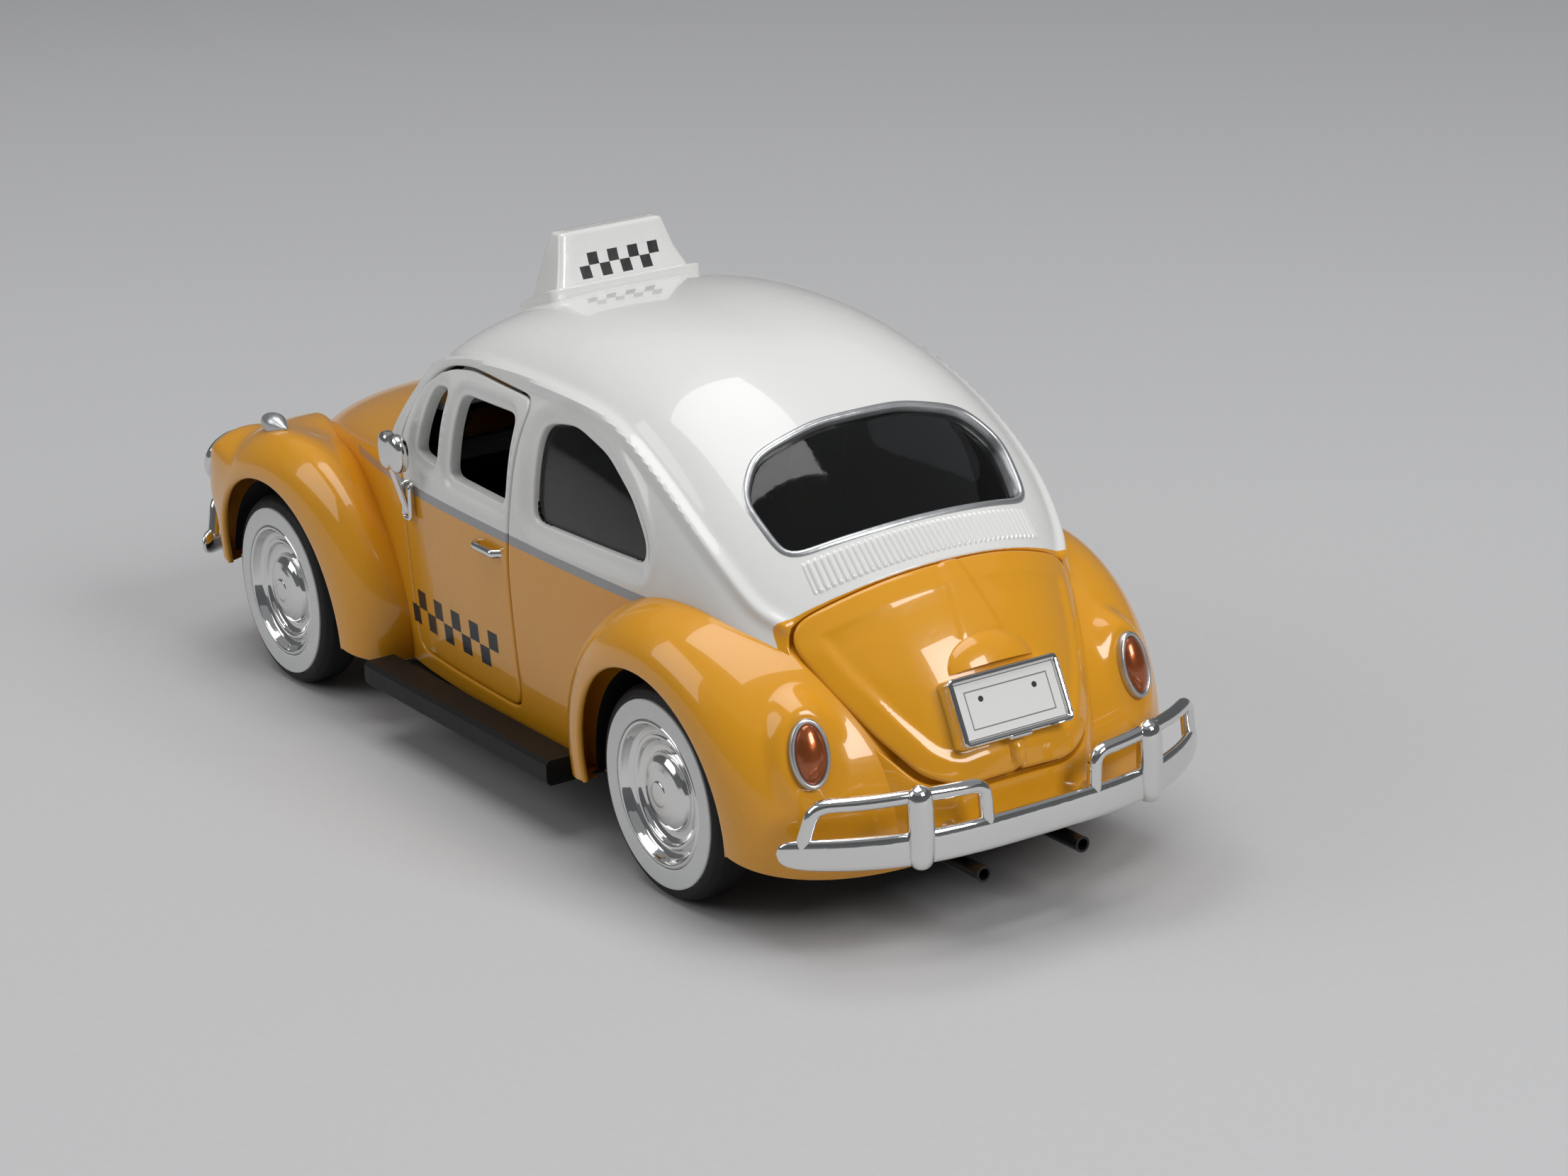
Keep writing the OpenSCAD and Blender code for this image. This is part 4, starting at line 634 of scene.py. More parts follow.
def soft_outline(corners, soften):
    """A closed polygon cut into even steps and smoothed along its length by a bell curve of width
    soften, which rounds the corners the way a cutter of about that radius would."""
    p = np.asarray(corners, float)
    even, at = evened(np.vstack([p, p[:1]]), OUTLINE_STEPS + 1)
    apart = np.abs(at[:-1, None] - at[None, :-1])
    return bell_smoothed(even[:-1], np.minimum(apart, at[-1] - apart), soften)


def outside(outline, a, b):
    """Distance from points (a, b) to a closed outline, negative inside: the least distance to its
    edges, signed by counting how many edges a level line to the right would cross. Points far off
    the outline's box get their distance to that box."""
    low, high = outline.min(0) - OUTLINE_NEAR, outline.max(0) + OUTLINE_NEAR
    far = np.maximum.reduce([low[0] - a, a - high[0], low[1] - b, b - high[1]])
    result = np.maximum(far, 0) + OUTLINE_NEAR
    near = far < 0
    pa, pb = a[near][:, None], b[near][:, None]
    (x0, y0), (x1, y1) = outline.T, np.roll(outline, -1, 0).T
    ex, ey = x1 - x0, y1 - y0
    t = np.clip(((pa - x0) * ex + (pb - y0) * ey) / (ex * ex + ey * ey), 0, 1)
    off = np.sqrt(((pa - x0 - t * ex) ** 2 + (pb - y0 - t * ey) ** 2).min(1))
    level = np.where(np.abs(ey) < 1e-9, 1e-9, ey)
    crossed = (((y0 > pb) != (y1 > pb)) & (pa < x0 + (pb - y0) * ex / level)).sum(1)
    result[near] = np.where(crossed % 2 == 1, -off, off)
    return result


def side_outline(shares, soften):
    """An outline in the side view, in shares of the wheelbase and of the roof's height."""
    return soft_outline([(along(a), b * ROOF_H) for a, b in shares], soften)


def cross_outline(shares, soften):
    """An outline across the car, given for its left half and mirrored."""
    half = [(a * HALF_W, b * ROOF_H) for a, b in shares]
    return soft_outline(half + [(-a, b) for a, b in half[::-1]], soften)


DOOR = side_outline([(0.190, 0.196), (-0.104, 0.192), (-0.106, 0.50), (-0.118, 0.60),
                     (-0.145, 0.75), (-0.166, 0.853), (0.0, 0.858), (0.060, 0.842),
                     (0.103, 0.812), (0.140, 0.770), (0.186, 0.650), (0.190, 0.50)], 1.5)
PANE = side_outline([(0.016, 0.802), (-0.126, 0.808), (-0.098, 0.620), (0.048, 0.624)], 1.0)
VENT = side_outline([(0.144, 0.640), (0.100, 0.791), (0.058, 0.798), (0.088, 0.632)], 0.9)
QUARTER = side_outline([(-0.172, 0.612), (-0.193, 0.815), (-0.260, 0.832), (-0.340, 0.801),
                        (-0.403, 0.740), (-0.440, 0.665), (-0.434, 0.622)], 1.5)
REAR_GLASS = cross_outline([(0.225, 0.030), (0.565, 0.000), (0.690, -0.072), (0.645, -0.206),
                            (0.250, -0.210)], 1.5)
LID = cross_outline([(0.300, -0.318), (0.742, -0.324), (0.768, -0.362), (0.694, -0.468),
                     (0.585, -0.578), (0.450, -0.676), (0.290, -0.717)], 1.4)
SCREEN = cross_outline([(0.25, 0.488), (0.60, 0.466), (0.715, 0.352), (0.735, 0.258),
                        (0.28, 0.244)], 1.7)
DOOR_GAP = 0.25
LID_GAP = 0.16
WELL_R = 15.55
WELL_BACK_Y = 20.8


def from_side(outline, p):
    """Distance measured in the side view."""
    return outside(outline, p[..., 0], p[..., 2])


def from_tail(outline, p):
    """Distance measured along the 45 degree plane that leans with the tail."""
    return outside(outline, p[..., 1], (p[..., 0] - MID_X + p[..., 2]) * HALF_ROOT)


def from_screen(outline, p):
    """Distance measured along the 45 degree plane that leans with the windscreen."""
    return outside(outline, p[..., 1], (p[..., 2] - p[..., 0] + MID_X) * HALF_ROOT)


def ease(value, low, high):
    """Smooth passage from 0 at low to 1 at high."""
    t = np.clip((value - low) / (high - low), 0, 1)
    return t * t * (3 - 2 * t)


print("door from", DOOR.min(0).round(1), "to", DOOR.max(0).round(1))

# %% [markdown]
# ## The cut
# Each step of the cut is a small function: find the grid points nearest the line, slide them onto
# it with Newton steps along the surface, keep the faces on the clear side, and find the rim. The
# last one puts them together and rolls the edge.

# %% Cutting a surface
STEP_UV = 1e-3
SLIDE_STEPS = 6
ROLL_STEPS = 4


def slopes(surface, u, v):
    """Change of the surface with each parameter, by central differences, and its outward normal."""
    pu = (surface(u + STEP_UV, v) - surface(u - STEP_UV, v)) / (2 * STEP_UV)
    pv = (surface(u, v + STEP_UV) - surface(u, v - STEP_UV)) / (2 * STEP_UV)
    return pu, pv, unit(np.cross(pv, pu))


def nearest_to_line(F):
    """Of two grid neighbours on different sides of the line F = 0, the one that is nearer to it."""
    snap = np.zeros(F.shape, bool)
    for one, two in ((np.s_[:-1], np.s_[1:]), (np.s_[:, :-1], np.s_[:, 1:])):
        crosses = F[one] * F[two] < 0
        nearer = np.abs(F[one]) <= np.abs(F[two])
        snap[one] |= crosses & nearer
        snap[two] |= crosses & ~nearer
    return snap


def slid_onto_line(surface, gauge, a, b):
    """Points (a, b) slid over the surface, straight down the slope of gauge, until gauge is zero.
    Returns them with their ways into the opening and their normals."""
    for _ in range(SLIDE_STEPS):
        fu = (gauge(a + STEP_UV, b) - gauge(a - STEP_UV, b)) / (2 * STEP_UV)
        fv = (gauge(a, b + STEP_UV) - gauge(a, b - STEP_UV)) / (2 * STEP_UV)
        pu, pv, n = slopes(surface, a, b)
        e, f, m = (pu * pu).sum(-1), (pv * pv).sum(-1), (pu * pv).sum(-1)
        det = np.maximum(e * f - m * m, 1e-9)
        gu, gv = (f * fu - m * fv) / det, (e * fv - m * fu) / det
        pace = gauge(a, b) / np.maximum(fu * gu + fv * gv, 0.05)
        a, b = a - gu * pace, b - gv * pace
    inward = -(gu[:, None] * pu + gv[:, None] * pv)
    return a, b, unit(inward), n


def kept_faces(F, snap, points, side):
    """Faces on the clear side. One with a single corner past the line keeps its other three, and
    where all corners are on the line, the side of the face's middle decides."""
    sign = np.where(snap, 0, np.sign(F))
    corners = np.stack([sign[:-1, :-1], sign[:-1, 1:], sign[1:, 1:], sign[1:, :-1]], -1)
    corners = corners.reshape(-1, 4)
    faces = grid_faces(*F.shape)
    middle = side(points[faces].mean(1))
    plus, minus = (corners > 0).sum(1), (corners < 0).sum(1)
    whole = faces[(minus == 0) & ((plus > 0) | (middle > 0))]
    split = (plus > 0) & (minus == 1)
    drop = np.argmax(corners[split] < 0, axis=1)
    turn = (drop[:, None] + np.arange(1, 4)) % 4
    thirds = np.take_along_axis(faces[split], turn, 1)
    return np.vstack([whole, np.hstack([thirds, np.full((len(thirds), 1), -1)])])


def rim_edges(faces, on_line):
    """Edges of one face only that have both ends on the line."""
    loops = np.where(faces >= 0, faces, faces[:, :1])
    edges = np.stack([loops, np.roll(loops, -1, 1)], -1).reshape(-1, 2)
    edges = edges[edges[:, 0] != edges[:, 1]]
    count = len(on_line)
    code, reverse = edges[:, 0] * count + edges[:, 1], edges[:, 1] * count + edges[:, 0]
    return edges[~np.isin(code, reverse) & on_line[edges].all(1)]


def cut_sheet(surface, u, v, clear, lip, wall, back=False):
    """The part of surface(u, v) where clear(point) is above zero, with its cut edges rolled inwards
    over a quarter circle of radius lip and carried on to the wall's depth; back adds the inner
    face. Returns the part and its rim: edges, points, ways into the opening and normals."""
    U, V = np.meshgrid(u, v, indexing="ij")

    def gauge(a, b):
        return clear(surface(a, b)) - lip

    F = gauge(U, V)
    snap = nearest_to_line(F)
    U[snap], V[snap], inward, n = slid_onto_line(surface, gauge, U[snap], V[snap])
    points = surface(U, V).reshape(-1, 3)
    faces = kept_faces(F, snap, points, lambda q: clear(q) - lip)
    on_line = snap.reshape(-1)
    rim = rim_edges(faces, on_line)
    count = len(points)
    order = np.full(count, -1)
    order[np.flatnonzero(on_line)] = np.arange(on_line.sum())
    p, k = points[on_line], order[rim]
    turns = np.radians(np.linspace(0, 90, ROLL_STEPS + 1)[1:])
    rings = [p + inward * lip * math.sin(t) - n * lip * (1 - math.cos(t)) for t in turns]
    rings.append(p + inward * lip - n * (wall - 0.5 * lip * back))
    if back:
        rings.append(p - n * wall)
    starts = [None] + [count + i * len(p) for i in range(len(rings))]
    bands = []
    for low, high in zip(starts[:-1], starts[1:]):
        near = rim if low is None else low + k
        bands.append(np.stack([near[:, 1], near[:, 0], high + k[:, 0], high + k[:, 1]], 1))
    parts = [points] + rings
    all_faces = [faces] + bands
    if back:
        normal = slopes(surface, U, V)[2].reshape(-1, 3)
        inner = np.arange(count) + sum(len(q) for q in parts)
        inner[np.flatnonzero(on_line)] = starts[-1] + np.arange(len(p))
        parts.append(points - normal * wall)
        all_faces.append(turned_over(np.where(faces >= 0, inner[faces], -1)))
    return (np.vstack(parts), np.vstack(all_faces)), (k, p, inward, n)


def rim_bead(rim, profile):
    """A profile of (into the opening, out of the skin) steps carried along every rim edge."""
    k, p, inward, n = rim
    rings = [p + inward * t + n * h for t, h in profile]
    faces = [np.stack([i * len(p) + k[:, 0], i * len(p) + k[:, 1], (i + 1) * len(p) + k[:, 1],
                       (i + 1) * len(p) + k[:, 0]], 1) for i in range(len(profile) - 1)]
    return np.vstack(rings), np.vstack(faces)


print("cut: up to", SLIDE_STEPS, "Newton steps, edges rolled in", ROLL_STEPS, "steps")

# %% [markdown]
# ## The body shell
# Cabin, bonnet and tail are one skin. It is cut for two doors, two quarter windows, the rear
# window, the windscreen, the engine lid and the wheels. Before the cut the skin is pushed in round
# the quarter windows, and raised along the rain gutter that frames the roof.

# %% Body skin
CELL = 0.5
RECESS = 0.65
EDGE_LIP = 0.3
GUTTER_H, GUTTER_W = 0.75, 0.78
# raised frame round the quarter window: height, distance from the pane, width
FRAME_H, FRAME_OFF, FRAME_W = 0.16, 2.7, 0.5
CAR_CENTRE = (MID_X, 0, 25)
body_u = even_steps(hull(FINE_U, np.full_like(FINE_U, 1.75)), FINE_U, CELL)
left_v = np.concatenate([np.linspace(0, 1, 58)[:-1], np.linspace(1, 2, 92)])
body_v = np.concatenate([left_v, 4 - left_v[-2::-1]])
GUTTER_XZ = np.array([
    (24.3, 41.0), (22.6, 44.6), (18.9, 50.0), (13.9, 53.2), (3.9, 55.4), (-11.2, 55.9),
    (-26.6, 55.2), (-31.2, 54.0), (-35.6, 52.6), (-42.8, 49.4), (-48.8, 45.7), (-54.2, 41.8),
    (-58.4, 37.7), (-61.2, 36.3)])
gutter_xz = spline(GUTTER_XZ, np.linspace(0, len(GUTTER_XZ) - 1, 80))
gutter = hull(*on_side(gutter_xz[:, 0], gutter_xz[:, 1]))


def off_gutter(p):
    """Distance to the gutter's line on the nearer side of the car, 9 mm where it is far off."""
    result = np.full(p.shape[:-1], 9.0)
    near = (np.abs(p[..., 1]) > 15) & (p[..., 2] > 33)
    q = (p[near] * [1, 0, 1] + np.abs(p[near]) * [0, 1, 0])[:, None, :]
    a, e = gutter[:-1], np.diff(gutter, axis=0)
    t = np.clip(((q - a) * e).sum(-1) / (e * e).sum(-1), 0, 1)[..., None]
    result[near] = np.sqrt(((q - a - t * e) ** 2).sum(-1).min(1))
    return result


def body_skin(u, v):
    """The hull, pushed in round the quarter windows and raised along the gutter by a bell curve."""
    p = hull(u, v)
    normal = slopes(hull, u, v)[2]
    near = from_side(QUARTER, p)
    raised = (GUTTER_H * np.exp(-(off_gutter(p) / GUTTER_W) ** 2)
              + FRAME_H * np.exp(-((near - FRAME_OFF) / FRAME_W) ** 2))
    return p + normal * (raised - RECESS * (1 - ease(near, 0.4, 2.2)))[..., None]


def wheel_gap(p, axle_x):
    """Distance to a wheel's tunnel, which reaches in only as far as the tunnel's back wall."""
    from_axle = np.hypot(p[..., 0] - axle_x, p[..., 2] - AXLE_Z)
    return np.maximum(from_axle - WELL_R, WELL_BACK_Y - np.abs(p[..., 1]))


def body_clear(p):
    """Least distance to any opening of the shell."""
    return np.minimum.reduce([
        from_side(DOOR, p) - DOOR_GAP, from_side(QUARTER, p), from_tail(REAR_GLASS, p),
        from_tail(LID, p) - LID_GAP, from_screen(SCREEN, p),
        wheel_gap(p, REAR_AXLE_X), wheel_gap(p, FRONT_AXLE_X)])


def rim_near(rim, gap):
    """The edges of a rim whose ends are both less than 0.8 mm from an outline."""
    k, p, inward, normal = rim
    near = np.abs(gap) < 0.8
    return k[near[k].all(1)], p, inward, normal


def end_cap(u, bulge):
    """The last section drawn together onto the centre plane, swelling by a sine on the way."""
    v = np.linspace(0, 4, 81)
    ring = hull(np.full_like(v, u), v)
    t = np.linspace(0, 1, 9)[:, None, None]
    swell = np.array([bulge, 0, 0]) * np.sin(t * np.pi / 2)
    return grid_part(ring * [1, 0, 1] + ring * [0, 1, 0] * (1 - t) + swell)


shell, shell_rim = cut_sheet(body_skin, body_u, body_v, body_clear, EDGE_LIP, SHELL_T)
add_piece("body_skin", shell, "body", body_paint, "body_shell", CAR_CENTRE)
by_lid = rim_near(shell_rim, from_tail(LID, shell_rim[1]) - LID_GAP)
seat = rim_bead(by_lid, [(0.3, -1.15), (0.9, -1.5), (2.4, -1.7)])
add_piece("lid_seat", seat, "body", fender_paint, centre=(MID_X - 60, 0, 20))
for name, u, bulge in (("tail_end", 0.0, -0.3), ("nose_end", LAST_SECTION, 0.4)):
    add_piece(name, end_cap(u, bulge), "body", body_paint, centre=CAR_CENTRE)
# Black inset skin inside the shell: partly the black sides of the interior tub, partly painted
# shade that darkens the inside of roof and pillars seen through the windows.
dark_inside, _ = cut_sheet(lambda u, v: hull(u, v, 1.3), body_u[::2], body_v[::2], body_clear,
                      0.05, 0.25)
add_piece("inside_black_and_painted_shade", dark_inside, "body", black_plastic, centre=CAR_CENTRE)
print("body skin:", len(shell[1]), "faces")

# %% [markdown]
# ## Fenders
# Each fender is a separate swelling round its wheel: a row of sections at chosen angles, each a
# quarter superellipse from the crown inside the body to the arch lip outside. The lip is rolled
# over a half circle. Near a lamp the surface eases into the lamp's own plane, which makes the pod.

# %% Fender surfaces
# angle round the axle in degrees, then shares: crown, inner y, outer y, lip
REAR_FENDER = np.array([
    [-9, 1.439, 0.719, 0.950, 1.000], [14, 1.439, 0.719, 0.963, 1.000],
    [40, 1.427, 0.703, 0.984, 1.000], [70, 1.439, 0.672, 1.000, 1.000],
    [95, 1.476, 0.625, 1.000, 1.000], [120, 1.549, 0.531, 0.994, 1.000],
    [145, 1.646, 0.453, 0.981, 1.000], [168, 1.738, 0.375, 0.963, 1.000],
    [188, 1.780, 0.344, 0.944, 1.000]])
FRONT_FENDER = np.array([
    [2, 1.440, 0.375, 0.925, 0.985], [22, 1.480, 0.391, 0.950, 0.985],
    [42, 1.495, 0.438, 0.975, 0.990], [64, 1.470, 0.516, 0.988, 1.000],
    [88, 1.480, 0.578, 0.988, 1.024], [115, 1.616, 0.625, 0.978, 1.061],
    [140, 1.756, 0.656, 0.966, 1.085], [165, 1.756, 0.688, 0.953, 1.122],
    [188, 1.671, 0.703, 0.944, 1.200]])
FENDER_SCALE = [1, ARCH_R, FENDER_Y, FENDER_Y, ARCH_R]
FENDER_N = 2.2
FRONT_DIP = 5.2
LIP_R = 0.45
LIP_RETURN = 3.0
HEM_RETURN = 2.0
INNER_SHOULDER = 2.5


def round_axle(axle_x, r, turn, y):
    """Points at radius r and angle turn round an axle, y across the car."""
    return xyz(axle_x + r * np.cos(turn), y, AXLE_Z + r * np.sin(turn))


def fender_point(rows, axle_x, share, reach):
    """Point of a fender at a share of its sweep and a share of the way from crown to lip. Shares
    below zero run down the narrow inner shoulder, which sinks into the body."""
    row = spline(rows * FENDER_SCALE, np.asarray(share) * (len(rows) - 1))
    turn, crown, y_in, y_out, lip = np.moveaxis(row, -1, 0)
    c, s = np.cos(reach * np.pi / 2), np.sin(reach * np.pi / 2)
    q = squared(c, s, FENDER_N)
    r = lip + (crown - lip) * c / q
    if rows is FRONT_FENDER:
        r = r - (FRONT_DIP * ease(turn, 50, 100) * (1 - ease(turn, 135, 178))
                 * (1 - ease(reach, -0.1, 0.55)))
    y = y_in + np.where(s > 0, y_out - y_in, INNER_SHOULDER) * s / q
    return round_axle(axle_x, r, np.radians(turn), y)


def on_fender(rows, axle_x, share, reach):
    """One point of a fender."""
    return fender_point(rows, axle_x, np.array([share]), reach)[0]


print("rear fender's crown:", on_fender(REAR_FENDER, REAR_AXLE_X, 0.5, 0.0).round(2))

# %% [markdown]
# ## Places of the lamps
# Headlamp and tail lamp sit on the fenders and look out at an angle of their own. A lamp is kept
# as a place and three axes. The fender near it is drawn into the lamp's plane, so that the ring
# closes against the paint all the way round.

# %% Places of the lamps
def lamp_frame(place, yaw, pitch, way, proud):
    """Axes of a lamp: up across its face, sideways, and out along its beam, from yaw and pitch."""
    lean = math.radians(way * (90 - pitch))
    turn = math.radians(yaw)
    spin = np.array([[math.cos(turn), -math.sin(turn), 0], [math.sin(turn), math.cos(turn), 0],
                     [0, 0, 1]])
    tilt = np.array([[math.cos(lean), 0, math.sin(lean)], [0, 1, 0],
                     [-math.sin(lean), 0, math.cos(lean)]])
    axes = spin @ tilt
    return place + axes[:, 2] * proud, axes


TAIL_LAMP = lamp_frame(on_fender(REAR_FENDER, REAR_AXLE_X, 0.81, 0.36), -14, 16, -1, 0.3)
HEAD_LAMP = lamp_frame(on_fender(FRONT_FENDER, FRONT_AXLE_X, 0.224, 0.47), 4, 24, 1, 1.15)
TAIL_LAMP_HALF = (4.15, 2.45)
HEAD_LAMP_HALF = (4.5, 4.5)
LAMP_SEAT = 0.35
POD_DEPTH = 9
TURN_LAMP = on_fender(FRONT_FENDER, FRONT_AXLE_X, 0.479, 0.425) + [0, 0, 0.5]


def eased_to_lamp(points, lamp, half, reach, hold):
    """Points moved along the lamp's axis into its plane under the rim, fading out at reach radii.
    hold is 0 at the arch lip, which stays where it is."""
    place, axes = lamp
    local = (points - place) @ axes
    off = np.hypot(local[..., 0] / (half[0] + LAMP_SEAT), local[..., 1] / (half[1] + LAMP_SEAT))
    facing = local[..., 2] > -POD_DEPTH
    move = local[..., 2] * (1 - ease(off, 1.0, reach)) * facing * hold
    return points - axes[:, 2] * move[..., None]


print("lamps at", TAIL_LAMP[0].round(2), HEAD_LAMP[0].round(2))

# %% [markdown]
# ## Fender sheets and wheel wells
# The sheet is one grid: the outer face, the lip rolled over a half circle and, at both ends, a
# narrow hem. A black liner closes the arch behind it, so that no daylight shows past the wheel.

# %% Fender sheets and wheel wells
def fender_sheet(rows, axle_x, lamp, half, reach):
    """Left fender: the fender's points over both shares, its lip rolled inwards over a half circle
    and its two ends hemmed."""
    share = np.linspace(0, 1, 220)
    out = np.concatenate([np.linspace(-1, 0, 14)[:-1], np.linspace(0, 1, 48)])
    grid = fender_point(rows, axle_x, share[:, None], out[None, :])
    grid = eased_to_lamp(grid, lamp, half, reach, 1 - ease(out, 0.66, 0.92)[None, :])
    turn = np.radians(spline(rows * FENDER_SCALE, share * (len(rows) - 1))[:, 0])
    radial = xyz(np.cos(turn), 0, np.sin(turn))[:, None, :]
    edge = grid[:, -1:, :]
    roll = np.radians(np.linspace(0, 180, 10)[1:])
    across = np.array([0, 1.0, 0])
    lip = (edge - across * (LIP_R * (1 - np.cos(roll)))[None, :, None]
           - radial * (LIP_R * np.sin(roll))[None, :, None])
    grid = np.concatenate([grid, lip, lip[:, -1:] + radial * LIP_RETURN], 1)
    on_way = np.gradient(grid, axis=0)
    normal = unit(np.cross(np.gradient(grid, axis=1), on_way))
    normal[:, len(out):] = 0
    on_way = unit(on_way)
    middle, face = 100, np.s_[13:61]
    from_axle = grid[middle, face] - np.array([axle_x, 0, AXLE_Z])
    normal *= np.sign(np.einsum("ij,ij->", normal[middle, face], from_axle))

    def hem(row, way):
        """An end row rolled in over a quarter circle and carried on inwards."""
        steps = np.radians(np.linspace(0, 90, 5)[1:])
        rolled = [grid[row] + way * on_way[row] * LIP_R * math.sin(t)
                  - normal[row] * LIP_R * (1 - math.cos(t)) for t in steps]
        return np.stack(rolled + [rolled[-1] - normal[row] * HEM_RETURN])

    return grid_part(np.concatenate([hem(0, -1)[::-1], grid, hem(-1, 1)]))


def wheel_well(axle_x, first):
    """Black liner of a wheel arch: a half tunnel round the wheel and the wall behind it."""
    turn = np.radians(np.linspace(first, 187, 70))[:, None]
    r = np.concatenate([np.full(12, WELL_R), np.linspace(WELL_R, 1.5, 10)])[None, :]
    y = np.concatenate([np.linspace(28.5, WELL_BACK_Y, 12), np.full(10, WELL_BACK_Y)])
    return grid_part(round_axle(axle_x, r, turn, y[None, :]))


rear_fender = fender_sheet(REAR_FENDER, REAR_AXLE_X, TAIL_LAMP, TAIL_LAMP_HALF, 1.8)
front_fender = fender_sheet(FRONT_FENDER, FRONT_AXLE_X, HEAD_LAMP, HEAD_LAMP_HALF, 1.85)
for end, sheet, axle, first in (("rear", rear_fender, REAR_AXLE_X, -7),
                                ("front", front_fender, FRONT_AXLE_X, 7)):
    well = wheel_well(axle, first)
    for side, turned, sign in SIDES:
        middle = (axle, sign * 20, AXLE_Z)
        add_piece(f"{end}_fender_{side}", turned(sheet), "body", fender_paint,
                  centre=middle)
        add_piece(f"{end}_well_{side}", turned(well), "body", black_plastic,
                  centre=middle)
print("fender faces:", len(rear_fender[1]), "rear,", len(front_fender[1]), "front")

# %% [markdown]
# ## Doors
# A door is the same skin cut the other way: what lies inside the door's outline and outside its
# two windows. An inner face one wall behind the outer one makes it a real thick panel, so that it
# still looks right when it swings open.

# %% Doors
WINDOW_EASE = 0.2
door_u = section_at(np.linspace(-13.0, 24.5, 96))
door_v = np.concatenate([np.linspace(0.02, 1, 72)[:-1], np.linspace(1, 1.97, 104)])


def door_skin(u, v):
    """The hull, pushed in round both door windows."""
    p = hull(u, v)
    normal = slopes(hull, u, v)[2]
    near = np.minimum(from_side(PANE, p), from_side(VENT, p))
    return p - normal * (RECESS * (1 - ease(near, 0.9, 2.0)))[..., None]


def door_clear(p):
    """How far a point is inside the door's edge and outside both windows, whichever is less."""
    return np.minimum.reduce([-from_side(DOOR, p), from_side(PANE, p) - WINDOW_EASE,
                              from_side(VENT, p) - WINDOW_EASE])


door, _ = cut_sheet(door_skin, door_u, door_v, door_clear, EDGE_LIP, SHELL_T + 0.5, back=True)
for side, turned, _ in SIDES:
    add_piece(f"door_{side}_skin", turned(door), side + "_door", body_paint,
              "door_" + side)
print("door:", len(door[1]), "faces")

# %% [markdown]
# ## The tail's leaning plane
# The engine lid lies on the sloping tail, so it is drawn over a plane that leans with it: y across
# and s up the slope. Newton steps find the skin under each (y, s). Anything that belongs to the
# tail can then be laid out flat and still follow the curved skin.

# %% Tail surface over its leaning plane
TAIL_PART = np.s_[:1400]
TAIL_LAST_SECTION = 14
TAIL_STEPS = 9
CENTRE_S = (hull(FINE_U, np.full_like(FINE_U, 2.0)) @ np.array([1, 0, 1]) - MID_X) * HALF_ROOT


def on_tail(y, s):
    """Section number and way round of the tail's point at y across and s up the leaning plane.
    Each Newton step divides what is missing in y and s by how fast the skin changes."""
    u = np.interp(s, CENTRE_S[TAIL_PART], FINE_U[TAIL_PART])
    v = 2 - np.clip(y / 26, -0.9, 0.9) * 0.75
    for _ in range(TAIL_STEPS):
        p = hull(u, v)
        pu, pv, _ = slopes(hull, u, v)
        a, b = pu[..., 1], pv[..., 1]
        c, d = (pu[..., 0] + pu[..., 2]) * HALF_ROOT, (pv[..., 0] + pv[..., 2]) * HALF_ROOT
        ry, rs = y - p[..., 1], s - (p[..., 0] - MID_X + p[..., 2]) * HALF_ROOT
        det = a * d - b * c
        det = np.where(np.abs(det) < 1e-6, 1e-6, det)
        u = u + np.clip((ry * d - b * rs) / det, -1, 1)
        v = v + np.clip((a * rs - c * ry) / det, -0.3, 0.3)
        u, v = np.clip(u, 0, TAIL_LAST_SECTION), np.clip(v, 0.02, 3.98)
    return u, v


def on_slope(y, s):
    """Points and outward normals of the tail skin at y across and s up the slope."""
    u, v = on_tail(np.asarray(y, float), np.asarray(s, float))
    return hull(u, v), slopes(hull, u, v)[2]


print("tail at the middle of the lid:", on_slope([0.0], [-33.0])[0].round(2))

# %% [markdown]
# ## Engine lid
# The lid is a separate casting that lies in the tail. Its relief is a height over the leaning
# plane: a rolled border, a lower panel inside it, a rib that widens downwards and a small latch.
# Smooth passages between these heights look like the soft edges of cast metal under paint.

# %% Engine lid
LID_RAISE, PANEL_DEPTH, TOP_STEP, RIB_H, LATCH_H = 0.4, 0.38, 0.2, 0.26, 0.9
BORDER_W, PANEL_LOW_S, LATCH_S = 2.9, -42.3, -42.9
LID_LIP, LID_WALL = 0.55, 1.4


def lid_skin(y, s):
    """Tail skin with the lid's relief: eased steps for border, panel and rib, half a pebble for
    the latch."""
    p, normal = on_slope(y, s)
    inside = -outside(LID, y, s)
    panel = np.minimum(inside - BORDER_W, s - PANEL_LOW_S)
    at_top = ease(s, -25.5, -22.0)
    relief = PANEL_DEPTH * (1 - ease(panel, -0.5, 0.6)) * (1 - at_top) + TOP_STEP * at_top
    down = np.clip((-20.5 - s) / 9.5, 0, 1)
    rib = 1 - ease(np.abs(y), 0.9 + 1.5 * down, 1.5 + 1.9 * down)
    relief = relief + RIB_H * rib * (1 - ease(-s, 29.5, 31.5))
    latch = np.clip(1 - y ** 2 - ((s - LATCH_S) / 1.9) ** 2, 0, 1)
    return p + normal * (LID_RAISE - PANEL_DEPTH + relief + LATCH_H * np.sqrt(latch))[..., None]


def lid_clear(p):
    """How far a point is inside the lid's outline."""
    return 0.02 - from_tail(LID, p)


lid, _ = cut_sheet(lid_skin, np.linspace(-21, 21, 121), np.linspace(-46.5, -19, 84), lid_clear,
                   LID_LIP, LID_WALL, back=True)
add_piece("lid_panel", lid, "engine_lid", fender_paint, "engine_lid")
print("lid:", len(lid[1]), "faces")

# %% [markdown]
# ## Plate lamp's cowl
# A small visor swells out of the lid above the plate. It is half of a flattened dome over an
# ellipse, closed from below by a nearly flat face, and it sinks into the lid at its edge.

